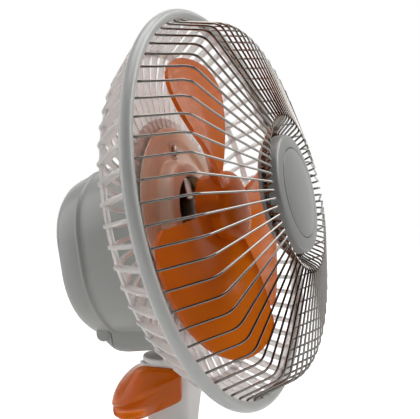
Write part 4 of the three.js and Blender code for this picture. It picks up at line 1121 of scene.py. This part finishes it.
def floor_finish():
    """Pale floor that keeps the shadow near the fan and runs out to the white of the surroundings."""
    material, nodes, link, shader = new_material("White floor")
    shader.inputs["Base Color"].default_value = (0.88, 0.88, 0.88, 1)
    shader.inputs["Roughness"].default_value = 0.9
    shader.inputs["Specular IOR Level"].default_value = 0.1
    where = nodes.new("ShaderNodeTexCoord")
    away = nodes.new("ShaderNodeVectorMath")
    away.operation = "LENGTH"
    link(where.outputs["Object"], away.inputs[0])
    fade = nodes.new("ShaderNodeMapRange")
    fade.inputs["From Min"].default_value = 0.25
    fade.inputs["From Max"].default_value = 1.4
    fade.inputs["To Min"].default_value = 0.3
    fade.inputs["To Max"].default_value = 1.0
    link(away.outputs["Value"], fade.inputs["Value"])
    ray = nodes.new("ShaderNodeLightPath")
    seen = nodes.new("ShaderNodeMath")
    seen.operation = "MAXIMUM"
    link(ray.outputs["Is Camera Ray"], seen.inputs[0])
    link(ray.outputs["Is Transmission Ray"], seen.inputs[1])
    lift = nodes.new("ShaderNodeMath")
    lift.operation = "MULTIPLY"
    link(fade.outputs["Result"], lift.inputs[0])
    link(seen.outputs[0], lift.inputs[1])
    shader.inputs["Emission Color"].default_value = (1, 1, 1, 1)
    link(lift.outputs[0], shader.inputs["Emission Strength"])
    return material


def world_light(scene):
    """White surroundings behind the fan, and a dim room on the photographer's side."""
    world = scene.world or bpy.data.worlds.new("World")
    scene.world = world
    world.use_nodes = True
    nodes, link = world.node_tree.nodes, world.node_tree.links.new
    background = nodes["Background"]
    background.inputs["Color"].default_value = (1, 1, 1, 1)
    where = nodes.new("ShaderNodeTexCoord")
    behind = nodes.new("ShaderNodeVectorMath")
    behind.operation = "DOT_PRODUCT"
    behind.inputs[1].default_value = (0.9, 0.43, -0.05)
    link(where.outputs["Generated"], behind.inputs[0])
    room = nodes.new("ShaderNodeMapRange")
    room.interpolation_type = "SMOOTHSTEP"
    room.inputs["From Min"].default_value = 0.5
    room.inputs["From Max"].default_value = 0.95
    room.inputs["To Min"].default_value = 0.03
    link(behind.outputs["Value"], room.inputs["Value"])
    ray = nodes.new("ShaderNodeLightPath")
    gloss = nodes.new("ShaderNodeMapRange")
    gloss.inputs["To Min"].default_value = 0.75
    gloss.inputs["To Max"].default_value = 1.0
    link(ray.outputs["Is Glossy Ray"], gloss.inputs["Value"])
    level = nodes.new("ShaderNodeMath")
    level.operation = "MULTIPLY"
    link(room.outputs["Result"], level.inputs[0])
    link(gloss.outputs["Result"], level.inputs[1])
    seen = nodes.new("ShaderNodeMath")
    seen.operation = "MAXIMUM"
    link(ray.outputs["Is Camera Ray"], seen.inputs[0])
    link(ray.outputs["Is Transmission Ray"], seen.inputs[1])
    strength = nodes.new("ShaderNodeMath")
    strength.operation = "MAXIMUM"
    link(seen.outputs[0], strength.inputs[0])
    link(level.outputs[0], strength.inputs[1])
    link(strength.outputs[0], background.inputs["Strength"])


# ---------------------------------------------------------------- panel and registration
class CLIPFAN_PT_panel(bpy.types.Panel):
    bl_label = "Clip Fan"
    bl_idname = "CLIPFAN_PT_panel"
    bl_space_type = "VIEW_3D"
    bl_region_type = "UI"
    bl_category = "Clip Fan"

    def draw(self, context):
        scene = context.scene
        for group in (scene.clip_fan_guard, scene.clip_fan_blades, scene.clip_fan_colours):
            for name in group.bl_rna.properties.keys():
                if name not in {"rna_type", "name"}:
                    self.layout.prop(group, name)
        for operator in OPERATORS:
            self.layout.operator(operator.bl_idname)


GROUPS = {
    "clip_fan_guard": ClipFanGuard,
    "clip_fan_blades": ClipFanBlades,
    "clip_fan_colours": ClipFanColours,
}
OPERATORS = (
    CLIPFAN_OT_nodes,
    CLIPFAN_OT_rim,
    CLIPFAN_OT_front_guard,
    CLIPFAN_OT_badge,
    CLIPFAN_OT_rear_guard,
    CLIPFAN_OT_motor_cover,
    CLIPFAN_OT_fan,
    CLIPFAN_OT_housing,
    CLIPFAN_OT_neck,
    CLIPFAN_OT_swivel,
    CLIPFAN_OT_upper_lever,
    CLIPFAN_OT_stage,
)


def register():
    for group in GROUPS.values():
        bpy.utils.register_class(group)
    for operator in OPERATORS:
        bpy.utils.register_class(operator)
    bpy.utils.register_class(CLIPFAN_PT_panel)
    for name, group in GROUPS.items():
        setattr(bpy.types.Scene, name, bpy.props.PointerProperty(type=group))


def unregister():
    for name in GROUPS:
        delattr(bpy.types.Scene, name)
    for thing in (CLIPFAN_PT_panel, *reversed(OPERATORS), *reversed(list(GROUPS.values()))):
        bpy.utils.unregister_class(thing)


def main():
    register()
    bpy.ops.clipfan.nodes()
    bpy.ops.clipfan.rim()
    bpy.ops.clipfan.front_guard()
    bpy.ops.clipfan.badge()
    bpy.ops.clipfan.rear_guard()
    bpy.ops.clipfan.motor_cover()
    bpy.ops.clipfan.fan()
    bpy.ops.clipfan.housing()
    bpy.ops.clipfan.neck()
    bpy.ops.clipfan.swivel()
    bpy.ops.clipfan.upper_lever()
    bpy.ops.clipfan.stage()


if __name__ == "__main__":
    main()
